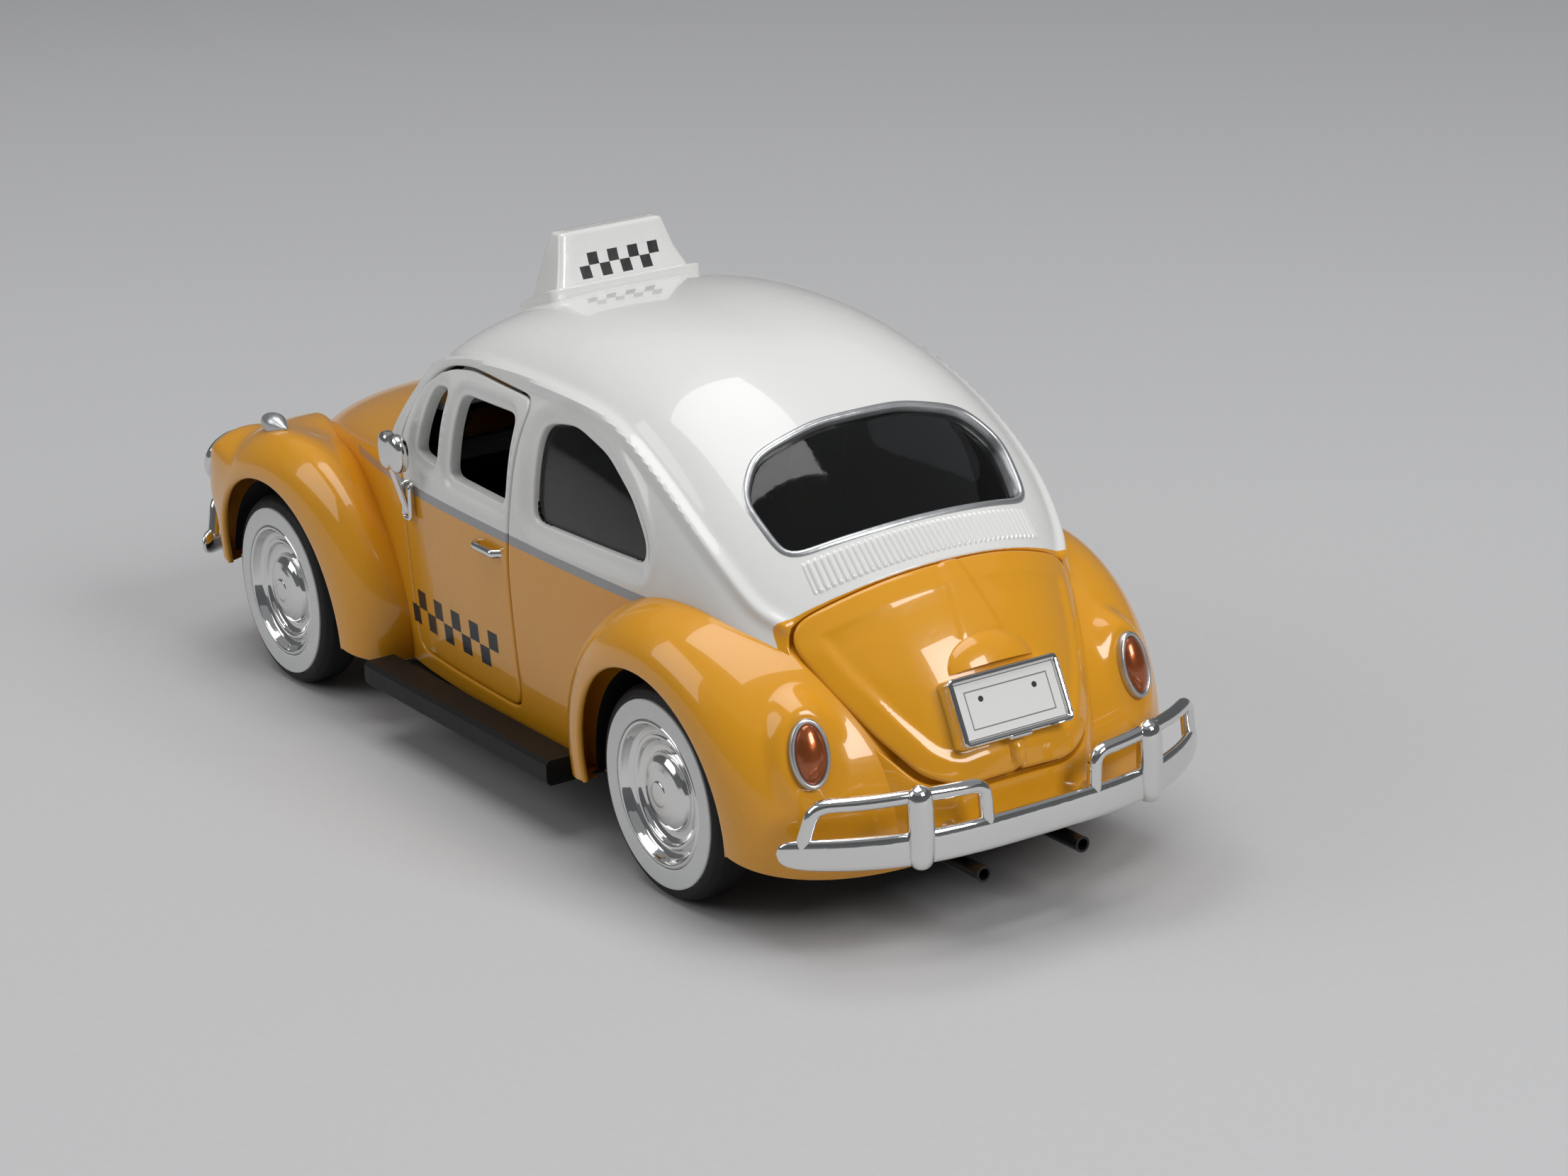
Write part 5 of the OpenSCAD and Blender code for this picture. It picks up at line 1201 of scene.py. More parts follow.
# %% Cowl
COWL_S = -33.6
COWL_HALF_W, COWL_H, COWL_OUT, COWL_SINK = 6.3, 4.4, 2.2, 0.9
COWL_CENTRE = (MID_X - 70, 0, 28)


def lid_cowl():
    """Half an ellipse swelling out of the lid by the root of what is left of one, flat below."""
    base, normal = on_slope(np.array([0.0]), np.array([COWL_S]))
    out = normal[0]
    up = np.cross(out, [0, 1.0, 0])
    up *= np.sign(up[2])
    turn = np.linspace(0, np.pi, 49)[:, None]
    away = np.linspace(0, 1, 15)[None, :]
    swell = COWL_OUT * np.sqrt(np.maximum(1 - away ** 2.2, 0)) - COWL_SINK
    dome = xyz(COWL_HALF_W * away * np.cos(turn), COWL_H * away * np.sin(turn), swell)
    dome[..., 2] -= 0.011 * dome[..., 0] ** 2
    right_end, left_end = dome[-1, ::-1], dome[0, 1:]
    y, h = np.concatenate([right_end, left_end])[:, [0, 2]].T
    depth = np.linspace(0, 1, 4)[:, None]
    under = xyz(y, 0.35 * np.sin(depth * np.pi), h + (-1.6 - h) * depth)

    def placed(q):
        return base[0] + q[..., 0:1] * [0, 1.0, 0] + q[..., 1:2] * up + q[..., 2:3] * out

    return join(grid_part(placed(dome)), grid_part(placed(under)))


cowl = lid_cowl()
add_piece("lid_cowl", cowl, "engine_lid", fender_paint, centre=COWL_CENTRE, sharp=50)
print("cowl:", len(cowl[1]), "faces")

# %% [markdown]
# ## Louvres
# The engine breathes through a band of slots under the rear window. On the casting they are only
# fine upright ribs, so the band is a patch of the tail skin with a wave across it, which fades
# into the skin at all four edges.

# %% Louvres
LOUVRE_PITCH, LOUVRE_REACH, LOUVRE_H = 0.78, 16.4, 0.26


def louvres():
    """A patch of the tail skin with upright ribs: half a sine wave across every pitch."""
    y = np.linspace(-LOUVRE_REACH, LOUVRE_REACH, 42 * 10 + 1)[:, None]
    s = np.linspace(-19.15, -14.0, 22)[None, :]
    p, normal = on_slope(*np.broadcast_arrays(y, s))
    fade = (ease(s, -19.0, -18.4) * (1 - ease(s, -14.9, -14.2))
            * (1 - ease(np.abs(y), LOUVRE_REACH - 0.8, LOUVRE_REACH)))
    height = -0.12 + fade * (0.13 + LOUVRE_H * np.abs(np.sin(np.pi * y / LOUVRE_PITCH)))
    return grid_part(p + normal * height[..., None])


add_piece("louvre_panel", louvres(), "body", white_paint, centre=CAR_CENTRE, sharp=80)
print("louvres:", round(2 * LOUVRE_REACH / LOUVRE_PITCH), "ribs")

# %% [markdown]
# ## Glazing
# The panes are clear mouldings that lie in their openings. Each is the hull drawn in a little and
# cut just inside the opening, with a second face behind. Rear window and windscreen have bright
# rims: a small half-round profile carried along the edge that the cut left behind.

# %% Panes and rim
PANE_LAP, PANE_LIP, PANE_WALL = 0.1, 0.12, 0.7
# (into the opening, out of the skin)
RIM_PROFILE = [(-0.6, -0.2), (-0.56, 0.03), (-0.42, 0.13), (-0.16, 0.19), (0.06, 0.16),
               (0.22, 0.05), (0.30, -0.15), (0.32, -1.1)]


def pane(from_outline, outline, u, v, set_in):
    """The hull drawn in and cut along an outline, with a second face behind."""
    part, _ = cut_sheet(lambda a, b: hull(a, b, set_in), u, v,
                        lambda p: PANE_LAP - from_outline(outline, p), PANE_LIP, PANE_WALL,
                        back=True)
    return part


rear_glass = pane(from_tail, REAR_GLASS, np.linspace(5.6, 10.2, 70),
                  np.linspace(1.2, 2.8, 90), 0.75)
front_glass = pane(from_screen, SCREEN, np.linspace(12.0, 17.0, 80),
                   np.linspace(1.15, 2.85, 90), 0.75)
quarter_glass = pane(from_side, QUARTER, section_at(np.linspace(-43, -10, 70)),
                     np.linspace(0.9, 1.9, 70), 1.5)
# The panes carry painted shade: their dark tint darkens the cabin seen through them.
add_piece("rear_pane", rear_glass, "body", pane_with_painted_shade, "rear_window")
add_piece("front_pane", front_glass, "body", pane_with_painted_shade, "windscreen")
for side, turned, _ in SIDES:
    add_piece("quarter_pane_" + side, turned(quarter_glass), "body", pane_with_painted_shade,
              "quarter_window_" + side)
rim_points = shell_rim[1]
for name, gap, finish in (("rear_window_rim", from_tail(REAR_GLASS, rim_points), silver_paint),
                          ("windscreen_rim", from_screen(SCREEN, rim_points), plating)):
    bead = rim_bead(rim_near(shell_rim, gap), RIM_PROFILE)
    add_piece(name, bead, "body", finish, centre=CAR_CENTRE)
print("panes:", len(rear_glass[1]), len(front_glass[1]), len(quarter_glass[1]), "faces")

# %% [markdown]
# ## Bars, posts and pebbles
# Bumpers, handles and mirrors are bars of changing thickness along a path, or rounded lumps. Two
# helpers cover them. A bar carries an ellipse along a path and shrinks to a point at both ends. A
# pebble is a superellipsoid, between a ball and a box.

# %% Bars and pebbles
def full_turn(count):
    """Angles once round, in even steps."""
    return np.linspace(0, 2 * np.pi, count, endpoint=False)


def bar(path, wide, high, up=(0, 0, 1), rounding=1.0, steps=24, power=2.0):
    """Ellipses, or superellipses, of half sizes wide and high carried along a path. Past both ends
    they shrink like the circles of a ball."""
    path = np.asarray(path, float)
    wide, high = (np.broadcast_to(np.asarray(q, float), len(path)) for q in (wide, high))
    way = unit(np.gradient(path, axis=0))
    side = unit(np.cross(np.asarray(up, float), way))
    over = np.cross(way, side)
    t = np.sin(np.linspace(0, np.pi / 2, 7))[1:]

    def close(i, sign):
        """Middles and scales of the rings that close one end."""
        reach = rounding * min(wide[i], high[i])
        return path[i] + sign * way[i] * (t * reach)[:, None], np.sqrt(np.maximum(1 - t ** 2, 1e-8))

    head, head_scale = close(0, -1)
    tail, tail_scale = close(-1, 1)
    rings = np.concatenate([head[::-1], path, tail])
    scale = np.concatenate([head_scale[::-1], np.ones(len(path)), tail_scale])
    pick = np.concatenate([np.zeros(6, int), np.arange(len(path)), np.full(6, len(path) - 1)])
    turn = full_turn(steps)
    c, s = np.cos(turn), np.sin(turn)
    q = squared(c, s, power)
    grid = (rings[:, None]
            + side[pick][:, None] * ((wide[pick] * scale)[:, None] * (c / q))[..., None]
            + over[pick][:, None] * ((high[pick] * scale)[:, None] * (s / q))[..., None])
    return grid_part(grid, close_cols=True)


def pebble(half, power, rows=25, cols=48):
    """Superellipsoid round the origin: every direction is stretched until the powers of its
    shares add up to one."""
    lean = np.linspace(0.004, np.pi - 0.004, rows)[:, None]
    turn = full_turn(cols)[None, :]
    d = xyz(np.sin(lean) * np.cos(turn), np.sin(lean) * np.sin(turn), np.cos(lean))
    d = d / (np.abs(d) ** power).sum(-1, keepdims=True) ** (1 / power)
    return grid_part(d * np.asarray(half), close_cols=True)


def bent(points, r, steps=7):
    """A path of straight runs with its inner corners replaced by arcs (quadratic curves)."""
    p = np.asarray(points, float)
    out = [p[:1]]
    t = np.linspace(0, 1, steps)[:, None]
    for a, b, c in zip(p[:-2], p[1:-1], p[2:]):
        one, two = b + unit(a - b) * r, b + unit(c - b) * r
        out.append((1 - t) ** 2 * one + 2 * t * (1 - t) * b + t ** 2 * two)
    return np.vstack(out + [p[-1:]])


print("a bent path of 3 corners:", len(bent([(0, 0), (5, 0), (5, 5), (9, 5)], 1)), "points")

# %% [markdown]
# ## Bumpers
# Each bumper is one plated moulding: a bowed blade, two upright guards and, on each half, a thin
# rail that rises from the blade, runs behind the guard and comes down again near the end.

# %% Bumpers
BUMPER_Z = 14.56
BUMPER_HALF_Y = 30.08
BUMPER_END = OVERALL_L / 2
BOW_POWER = 3.2
BLADE_T, BLADE_H = 0.75, 2.05
RAIL_YZ = [(7.6, 15.4), (7.9, 20.5), (17.0, 20.8), (26.6, 20.4), (27.8, 15.6)]
GUARD_Y, GUARD_Z, GUARD_HALF_H = 16.32, 17.06, 5.1
STAY_Y, STAY_Z, STAY_L = 9.6, 14.2, 6.2


def blade_x(y, bow):
    """How far the blade's middle stands from the car's middle, bowing back towards the ends."""
    return BUMPER_END - 1.2 - bow * (np.abs(y) / BUMPER_HALF_Y) ** BOW_POWER


def bumper(bow, way):
    """Blade, rails, guards and stays as bars; way is 1 at the front and -1 at the rear."""
    y = np.linspace(-1, 1, 161)
    y = BUMPER_HALF_Y * (y + 0.12 * np.sin(np.pi * y))
    share = np.abs(y) / BUMPER_HALF_Y
    taper = np.sqrt(np.maximum(1 - share ** 40, 2e-4))
    parts = [bar(xyz(blade_x(y, bow), y, BUMPER_Z), BLADE_T * taper,
                 BLADE_H * taper * (1 - 0.14 * share ** 6), rounding=0.05, steps=40, power=2.6)]
    corner = bent(RAIL_YZ, 1.7, 9)
    runs = [np.linspace(a, b, 6)[:-1] for a, b in zip(corner[:-1], corner[1:])]
    rail_y, rail_z = np.concatenate(runs + [corner[-1:]]).T
    z = np.linspace(-1, 1, 33)
    guard_x = (BUMPER_END - 2.3 + 0.25 * (1 - z ** 2)
               - 1.15 * (GUARD_Y / BUMPER_HALF_Y) ** BOW_POWER)
    bullet = np.sqrt(1 - 0.97 * np.abs(z) ** 7)
    stay = np.linspace(0, 1, 8)
    for side in (1, -1):
        rail = xyz(blade_x(rail_y, bow) - 0.25, side * rail_y, rail_z)
        guard = xyz(guard_x, side * GUARD_Y, GUARD_Z + GUARD_HALF_H * z)
        stub = xyz(BUMPER_END - 2.0 - STAY_L * stay, side * STAY_Y, STAY_Z)
        parts += [bar(rail, 0.86, 0.92, up=(1, 0, 0), steps=18),
                  bar(guard, 1.62 * bullet, 1.5 * bullet, up=(1, 0, 0), rounding=0.3),
                  bar(stub, 1.0, 0.9)]
    points, faces = join(*parts)
    return points * [way, 1, 1], faces[:, ::way]


for name, bow, way in (("rear", 10.2, -1), ("front", 7.0, 1)):
    add_piece(name + "_bumper_bar", bumper(bow, way), "body", plating, name + "_bumper")
print("bumpers:", pieces["rear_bumper_bar"], "and", pieces["front_bumper_bar"], "faces")

# %% [markdown]
# ## Wheels
# A wheel is turned on a lathe, or looks like it: one profile spun round the axle. The profile is a
# list of radius and depth pairs, evened out by a bell curve so that every edge is slightly round.

# %% Turned pieces
def turned_path(knots, soften, count=140):
    """Corner points of a profile cut into even steps and smoothed along its length."""
    even, at = evened(np.asarray(knots, float), count)
    smooth = bell_smoothed(even, at[:, None] - at[None, :], soften)
    smooth[[0, -1]] = even[[0, -1]]
    return smooth


def spun(profile, axle_x, steps=144):
    """A profile of (radius, y) pairs spun round the axle."""
    turn = full_turn(steps)[None, :]
    r, y = profile[:, 0:1], profile[:, 1:2]
    return grid_part(round_axle(axle_x, r, turn, y), close_cols=True)


TYRE_PROFILE = turned_path([
    (9.3, 24.2), (9.4, 23.1), (11.4, 23.05), (12.7, 23.35), (13.3, 24.3), (13.35, 25.2),
    (13.35, 27.0), (13.3, 27.9), (12.75, 28.85), (12.0, 29.2), (11.72, 29.2), (11.7, 28.75),
    (9.2, 28.7), (9.2, 27.8)], 0.16)
RING_PROFILE = turned_path([
    (9.22, 28.7), (9.22, 29.28), (9.3, 29.34), (11.6, 29.34), (11.69, 29.26), (11.69, 28.7)],
    0.06, 60)
DISC_PROFILE = turned_path([
    (9.17, 27.0), (9.17, 29.18), (8.95, 29.36), (8.65, 29.3), (8.45, 28.85), (8.1, 28.2),
    (7.45, 27.85), (7.2, 28.15), (6.95, 28.3), (6.6, 28.2), (6.35, 27.75), (5.7, 27.45),
    (5.1, 27.4), (4.95, 27.45), (4.9, 27.75), (4.6, 28.2), (3.9, 28.62), (2.8, 28.95),
    (1.6, 29.08), (1.5, 29.2), (1.1, 29.28), (0.004, 29.3)], 0.09, 200)
# node, ending of the piece's name, profile, slot, finish
WHEEL_PARTS = (("tyre", "tread", TYRE_PROFILE, "tyre_rubber", tyre_rubber),
               ("whitewall", "ring", RING_PROFILE, "whitewall", whitewall_paint),
               ("wheel", "disc", DISC_PROFILE, "chrome", plating))
for end, axle in (("front", FRONT_AXLE_X), ("rear", REAR_AXLE_X)):
    for side, turned, sign in SIDES:
        for node, ending, profile, slot, finish in WHEEL_PARTS:
            add_piece(f"{node}_{end}_{side}_{ending}", turned(spun(profile, axle)), end + "_wheels",
                      finish, f"{node}_{end}_{side}", (axle, sign * 26, AXLE_Z))
print("tyre:", pieces["tyre_rear_left_tread"], "faces, radius", TYRE_PROFILE[:, 0].max().round(2))

# %% [markdown]
# ## Lamps
# A tail lamp is a painted dome in a silver ring on the fender's pod. A headlamp has a clear dome
# over a plated bowl. Both are drawn in the lamp's own axes and then put in place.

# %% Lamp pieces
def in_lamp(lamp, grid):
    """Points of a lamp's own axes, put in their place on the car."""
    place, axes = lamp
    return grid @ axes.T + place


def lamp_ring(lamp, half, thick, low, high):
    """An elliptic ring of round section, thick across the face and low to high along the beam."""
    turn = full_turn(96)[:, None]
    sec = full_turn(20)[None, :]
    c, s = np.cos(sec), np.sin(sec)
    q = squared(c, s, 2.5)
    off = thick / 2 * (c / q - 1)
    beam = (low + high) / 2 + (high - low) / 2 * s / q
    grid = xyz((half[0] + off) * np.cos(turn), (half[1] + off) * np.sin(turn), beam)
    return grid_part(in_lamp(lamp, grid), close_rows=True, close_cols=True)


def lamp_dome(lamp, half, low, rise, sink=0.8):
    """A dome over an ellipse: rise times the root of what is left of one, with a skirt below."""
    turn = full_turn(72)[None, :]
    away = np.sin(np.linspace(0.003, np.pi / 2, 22))[:, None]
    away = np.concatenate([away, [[1.0]]])
    h = low + rise * np.sqrt(np.maximum(1 - away ** 2, 0))
    h[-1] = low - sink
    grid = xyz(half[0] * away * np.cos(turn), half[1] * away * np.sin(turn), h)
    return grid_part(in_lamp(lamp, grid), close_cols=True)


tail_ring = lamp_ring(TAIL_LAMP, TAIL_LAMP_HALF, 0.7, -0.3, 0.9)
tail_dome = lamp_dome(TAIL_LAMP, (3.6, 1.9), 0.3, 1.4)
head_ring = lamp_ring(HEAD_LAMP, HEAD_LAMP_HALF, 0.9, -0.6, 1.15)
head_dome = lamp_dome(HEAD_LAMP, (3.72, 3.72), 0.75, 1.3)
head_bowl = lamp_dome(HEAD_LAMP, (3.65, 3.65), 0.45, -2.2, sink=0.1)


def turn_lamp():
    """A teardrop lying along the fender's crown: a pebble drawn thinner towards its tail."""
    points, faces = pebble((1, 1, 1), 2.2)
    thin = 1 - 0.55 * ease(-points[:, 0], 0.0, 1.0)
    points = points * xyz(3.3, 1.5 * thin, 1.5 * thin)
    return points + TURN_LAMP, faces


# piece, part, slot, finish, node
LAMP_PARTS = (
    ("tail_lamp_ring", tail_ring, "chrome", silver_paint, "tail_light_rim"),
    ("tail_lamp_dome", tail_dome, "amber_lens", amber_paint, "tail_light_lens"),
    ("head_lamp_ring", head_ring, "chrome", plating, "headlight_rim"),
    ("head_lamp_dome", head_dome, "clear_glazing", clear_lens, "headlight_lens"),
    ("head_lamp_bowl", head_bowl, "chrome", plating, None),
    ("turn_lamp", turn_lamp(), "chrome", silver_paint, "turn_signal"))
for side, turned, sign in SIDES:
    for name, part, slot, finish, node in LAMP_PARTS:
        add_piece(f"{name}_{side}", turned(part), "body", finish,
                  f"{node}_{side}" if node else None, None if node else (60, sign * 26, 24))
print("lamp pieces on each side:", len(LAMP_PARTS))

# %% [markdown]
# ## Roof sign
# The sign is a white hollow block on a thin foot. It is a stack of rounded rectangles, one for
# each height, with small steps at the edges so that they look moulded. The foot bends with the
# roof, and the block above it is level. Its two faces carry a strip of black squares.

# %% Roof sign
def rounded_rectangle(half_x, half_y, r):
    """Loop of 80 points: quarter circles at the corners and even steps along the sides."""
    a = np.radians(np.linspace(0, 90, 8))
    loop = []
    for start, (sx, sy) in zip((0, 90, 180, 270), ((1, 1), (-1, 1), (-1, -1), (1, -1))):
        b = a + math.radians(start)
        loop.append(np.stack([sx * (half_x - r) + r * np.cos(b),
                              sy * (half_y - r) + r * np.sin(b)], 1))
    full = []
    for one, two in zip(loop, loop[1:] + loop[:1]):
        t = np.linspace(0, 1, 14)[1:-1, None]
        full += [one, one[-1] * (1 - t) + two[0] * t]
    return np.vstack(full)


SIGN_X = 8.45
# half length, half width, corner radius, height above the roof's centre line
SIGN_FOOT = [(4.70, 11.20, 1.0, 0.75), (4.63, 11.13, 0.95, 0.97), (4.42, 10.90, 0.9, 1.08),
             (4.00, 9.95, 0.8, 1.10), (3.86, 9.75, 0.8, 1.18), (3.76, 9.63, 0.8, 1.5)]
SIGN_BLOCK = [(2.63, 8.66, 0.75, 4.7), (1.52, 7.72, 0.7, 8.15), (1.42, 7.6, 0.65, 8.4),
              (1.2, 7.35, 0.55, 8.56), (0.7, 6.9, 0.3, 8.6), (0.05, 6.2, 0.02, 8.6)]


def roof_sign():
    """Rounded rectangles stacked upwards: the first lies just under the roof, those of the foot
    follow the roof's centre line, and those of the block are level."""
    crown = float(skin_z(SIGN_X, 0.0))
    foot = rounded_rectangle(*SIGN_FOOT[0][:3]) + [SIGN_X, 0]
    rings = [xyz(*foot.T, skin_z(*foot.T) - 0.5)]
    for rows, level in ((SIGN_FOOT, 0), (SIGN_BLOCK, 1)):
        for half_x, half_y, r, rise in rows:
            loop = rounded_rectangle(half_x, half_y, r) + [SIGN_X, 0]
            base = crown if level else skin_z(loop[:, 0], 0)
            rings.append(xyz(*loop.T, base + rise))
    return grid_part(np.stack(rings), close_cols=True)


SIGN_CELL = 0.0015
SIGN_CHECK_HALF_Y = 0.006
SIGN_CHECK_Z = (0.0627, 0.0657)
INK_SOFT = 0.00002


def sign_finish():
    """White with two rows of black squares across the middle of both faces."""
    finish, g, shader = new_finish("sign_paint", Coat_Weight=0.7, Coat_Roughness=0.05)
    x, y, z = g.add("SeparateXYZ", {0: g.place()}).outputs
    squares = g.checks(y, g.minus(z, SIGN_CHECK_Z[0]), SIGN_CELL)
    strip = g.times(g.between(y, -SIGN_CHECK_HALF_Y, SIGN_CHECK_HALF_Y, INK_SOFT),
                    g.between(z, *SIGN_CHECK_Z, INK_SOFT))
    coat = add_lacquer(g, 0.12, 0.22, 0.10)
    g.wire(shader, Base_Color=g.mix(g.times(squares, strip), WHITE, BLACK),
           Roughness=coat["Roughness"], Normal=coat["Normal"])
    return finish


add_piece("roof_sign_block", roof_sign(), "body", sign_finish(), "roof_sign")
print("sign:", pieces["roof_sign_block"], "faces")

# %% [markdown]
# ## Number plate
# A plated tray holds a white plate. The plate has a thin grey line near its edge and two screw
# heads, and is otherwise bare.

# %% Number plate
PLATE_UP = np.array([0.4384, 0, 0.8988])
PLATE_OUT = np.array([-0.8988, 0, 0.4384])
PLATE_Z, PLATE_SINK = 26.84, 0.4
tail_line = hull(FINE_U[:900], np.full(900, 2.0))
PLATE_AT = np.array([np.interp(PLATE_Z, tail_line[:, 2], tail_line[:, 0]) - PLATE_SINK, 0, PLATE_Z])
PLATE_CENTRE = PLATE_AT - PLATE_OUT * 2
TRAY_HALF_H, TRAY_HALF_W, TRAY_R = 4.1, 7.8, 0.75
# (in from the edge, out of the plate's plane)
TRAY_PROFILE = [(0.0, -2.6), (0.0, 0.85), (0.06, 1.02), (0.2, 1.12), (0.5, 1.12), (0.68, 1.02),
                (0.78, 0.8), (0.8, 0.45)]


def on_plate(up, across, out):
    """Points given up, across and out of the leaning plate."""
    up, across, out = (q[..., None] for q in np.broadcast_arrays(up, across, out))
    return PLATE_AT + up * PLATE_UP + across * np.array([0, 1.0, 0]) + out * PLATE_OUT


def plate_tray():
    """A rounded rectangle's edge profile: up the outer wall, over the rim and down inside."""
    rings = []
    for inset, out in TRAY_PROFILE:
        loop = rounded_rectangle(TRAY_HALF_H - inset, TRAY_HALF_W - inset,
                                 max(TRAY_R - inset, 0.12))
        rings.append(on_plate(*loop.T, out))
    tab_y = 1.3 * np.linspace(-1, 1, 12)
    tab = bar(on_plate(-4.05, tab_y, 0.75), 0.35, 0.4, steps=14)
    return join(grid_part(np.stack(rings), close_cols=True), tab)


def plate_sheet():
    """A flat grid with its outermost rows turned down."""
    up = np.concatenate([[-3.3], np.linspace(-3.24, 3.24, 9), [3.3]])[:, None]
    across = np.concatenate([[-7.0], np.linspace(-6.94, 6.94, 17), [7.0]])[None, :]
    out = np.where((np.abs(up) > 3.25) | (np.abs(across) > 6.95), 0.3, 0.68)
    return grid_part(on_plate(up, across, out))


PLATE_WHITE, PLATE_INK = colour(0.74, 0.74, 0.72), colour(0.03, 0.03, 0.035)
# the border's half width and half height, and the screws' place and radius, in metres
BORDER_Y, BORDER_UP, BORDER_HALF_T = 0.0058, 0.0022, 0.00008
SCREW_Y, SCREW_UP, SCREW_R = 0.0038, 0.0011, 0.00036


def plate_finish():
    """White with a thin grey border and two dark screw heads, measured in the plate's own axes."""
    finish, g, shader = new_finish("plate_paint", Coat_Weight=0.5, Coat_Roughness=0.08)
    offset = g.add("VectorMath", {0: g.place(), 1: (PLATE_AT * MM).tolist()},
                   operation="SUBTRACT").outputs[0]
    up = g.add("VectorMath", {0: offset, 1: PLATE_UP.tolist()},
               operation="DOT_PRODUCT").outputs["Value"]
    across = g.math("ABSOLUTE", g.add("SeparateXYZ", {0: offset}).outputs[1])
    edge = g.math("MAXIMUM", g.minus(across, BORDER_Y),
                  g.minus(g.math("ABSOLUTE", up), BORDER_UP))
    line = g.between(edge, -BORDER_HALF_T, BORDER_HALF_T, INK_SOFT)
    off_y, off_up = g.minus(across, SCREW_Y), g.minus(up, SCREW_UP)
    from_screw = g.math("SQRT", g.plus(g.math("POWER", off_y, 2.0), g.math("POWER", off_up, 2.0)))
    screw = g.minus(1.0, g.step(from_screw, SCREW_R, 0.00003))
    ink = g.math("MAXIMUM", g.times(line, 0.75), screw)
    coat = add_lacquer(g, 0.15, 0.25, 0.1)
    g.wire(shader, Base_Color=g.mix(ink, PLATE_WHITE, PLATE_INK), Roughness=coat["Roughness"])
    return finish


add_piece("plate_tray", plate_tray(), "engine_lid", plating, "plate_frame",
          centre=PLATE_CENTRE)
add_piece("plate_sheet", plate_sheet(), "engine_lid", plate_finish(), "number_plate",
          centre=PLATE_CENTRE)
print("plate at", PLATE_AT.round(2))

# %% [markdown]
# ## Door fittings
# Handle and mirror are plated mouldings pressed into the doors. The handle is a thin bar whose two
# ends turn into the skin. The mirror stands on an open foot beside the window. Short steel pins
# behind the door's front edge are the barrels of its hinges.

# %% Handles and mirror
GRIP_X = (-5.3, 1.2)
GRIP_Z = 32.6
MIRROR_X, MIRROR_Z = 19.85, 33.5
MIRROR_HEAD, MIRROR_HALF = (18.1, 28.25, 41.2), (3.1, 1.2, 2.7)
HINGE_X, HINGE_R, HINGE_SINK = 23.05, 0.7, 1.3


def door_grip():
    """A bar that leaves the skin at one end by an eased step and sinks back at the other."""
    x = np.linspace(*GRIP_X, 40)
    rise = ease(x, GRIP_X[0], GRIP_X[0] + 1) * (1 - ease(x, GRIP_X[1] - 1, GRIP_X[1]))
    y = np.array([skin_y(a, GRIP_Z) for a in x]) - 0.3 + 1.15 * rise
    return bar(xyz(x, y, GRIP_Z), 0.42, 0.55, steps=20)


def door_mirror():
    """A bent bar as the open foot, a straight one as the arm, and for the head a superellipsoid
    that a bell curve pinches in the middle."""
    y = skin_y(MIRROR_X, MIRROR_Z)
    foot = bent([(20.6, y - 0.4, 36.0), (20.75, y + 0.75, 35.9), (20.75, y + 0.8, 31.3),
                 (19.0, y + 0.8, 31.3), (18.95, y + 0.75, 35.9), (19.1, y - 0.4, 36.0)], 0.55)
    arm = xyz(19.9, np.linspace(y + 0.8, 28.0, 12), np.linspace(32.4, 39.6, 12))
    head, faces = pebble(MIRROR_HALF, 3.0)
    pinch = 1 - 0.14 * np.exp(-(head[:, 0] / 0.9) ** 2)
    head = head * xyz(1, pinch, pinch) + MIRROR_HEAD
    return join(bar(foot, 0.34, 0.34, up=(0, 1, 0.2), steps=14),
                bar(arm, 0.5, 0.5, up=(1, 0, 0), steps=16), (head, faces))


def hinge_barrels(z_low, z_high):
    """Two short upright pins with round ends, set just behind the skin at the door's front edge."""
    pins = [xyz(HINGE_X, skin_y(HINGE_X, a) - HINGE_SINK, np.linspace(a, b, 8))
            for a, b in zip(z_low, z_high)]
    return join(*[bar(pin, HINGE_R, HINGE_R, up=(1, 0, 0), steps=20) for pin in pins])


knuckles = hinge_barrels((17.5, 30.2), (18.3, 31.0))
posts = hinge_barrels((19.0, 31.7), (19.7, 32.3))
grip = door_grip()
for side, turned, _ in SIDES:
    add_piece("hinge_knuckles_" + side, turned(knuckles), side + "_door", steel,
              "door_hinges_" + side)
    add_piece("hinge_pins_" + side, turned(posts), "body", steel,
              "door_hinge_posts_" + side)
for side, turned, _ in SIDES:
    add_piece("grip_" + side, turned(grip), side + "_door", plating,
              "door_handle_" + side)
add_piece("mirror_left", door_mirror(), "left_door", plating, "door_mirror_left")
print("mirror:", pieces["mirror_left"], "faces")

# %% [markdown]
# ## What stays as it was packed
# The base, the cabin fittings and the small engine are plain mouldings and mostly hidden. They keep
# their packed solids and only get a finish.

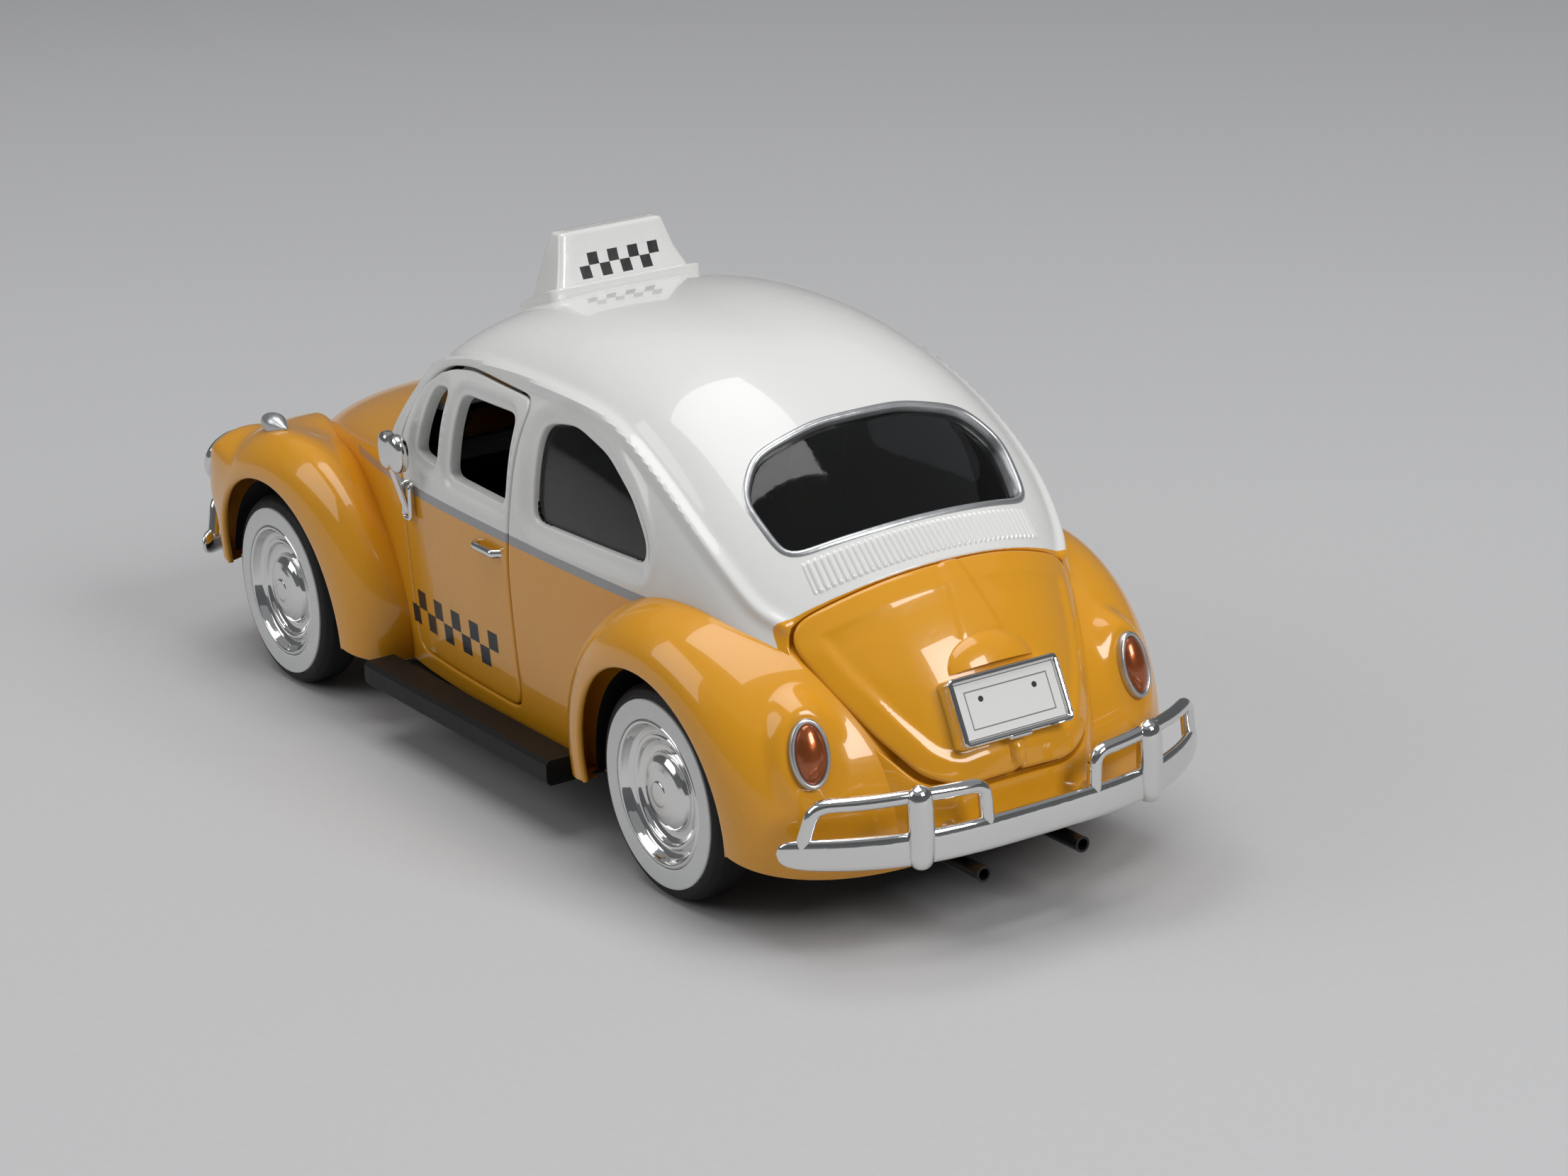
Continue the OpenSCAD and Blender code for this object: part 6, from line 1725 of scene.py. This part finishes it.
# %% Finishes for the packed solids
PLAIN = ((black_plastic, ("base_plate", "interior_tub", "air_cleaner")),
         (black_gloss, ("front_seat_left", "front_seat_right", "rear_seat", "dashboard",
                        "steering_wheel", "exhaust_pipes", "fan_shroud")),
         (engine_grey, ("engine_block", "generator")),
         (steel, ("base_screws", "lid_hinge_pin", "front_axle", "rear_axle")),
         (fender_paint, ("lid_hinge_arms",)))
for finish, names in PLAIN:
    for name in names:
        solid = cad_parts[name]
        solid.data.materials.clear()
        solid.data.materials.append(finish)
print("packed solids with a finish:", sum(len(names) for _, names in PLAIN))

# %% [markdown]
# ## Floor
# One pale sheet turned like a shallow bowl: flat under the car, rising softly far behind it, so no
# edge shows from any side.

# %% Floor
FLOOR_FLAT, FLOOR_BEND, FLOOR_TOP = 1.7, 0.6, 1.6
FLOOR_DARK, FLOOR_PALE = colour(0.47, 0.47, 0.475), colour(0.56, 0.56, 0.565)


def floor_bowl():
    """A profile spun round the upright: level, then a quarter circle, then straight up."""
    bend = np.linspace(0.05, np.pi / 2, 14)
    r = np.concatenate([[0.0005], np.linspace(0.1, FLOOR_FLAT, 30),
                        FLOOR_FLAT + FLOOR_BEND * np.sin(bend), [FLOOR_FLAT + FLOOR_BEND]])
    z = np.concatenate([np.zeros(31), FLOOR_BEND * (1 - np.cos(bend)), [FLOOR_TOP]])
    turn = full_turn(96)
    r, z = r[:, None], z[:, None]
    return grid_part(xyz(r * np.cos(turn), r * np.sin(turn), z), close_cols=True)


points, faces = floor_bowl()
sheet = bpy.data.meshes.new("floor")
sheet.from_pydata(points.tolist(), [], faces[:, ::-1].tolist())
sheet.shade_smooth()
floor = bpy.data.objects.new("floor", sheet)
bpy.context.scene.collection.objects.link(floor)
floor_finish, g, shader = new_finish("floor_cloth", Roughness=0.9)
grain = g.times(g.noise(g.place(), 900.0, 2.0), 0.3)
shade = g.times(g.noise(g.place(), 3.0, 2.0), 0.4)
g.wire(shader, Base_Color=g.mix(g.plus(grain, shade), FLOOR_DARK, FLOOR_PALE))
sheet.materials.append(floor_finish)
print("floor:", len(faces), "faces")

# %% [markdown]
# ## Size of the dressed car
# The number of dressed pieces and of their faces is printed.

# %% Size of the dressed car
print("pieces:", len(pieces), "faces:", sum(pieces.values()))
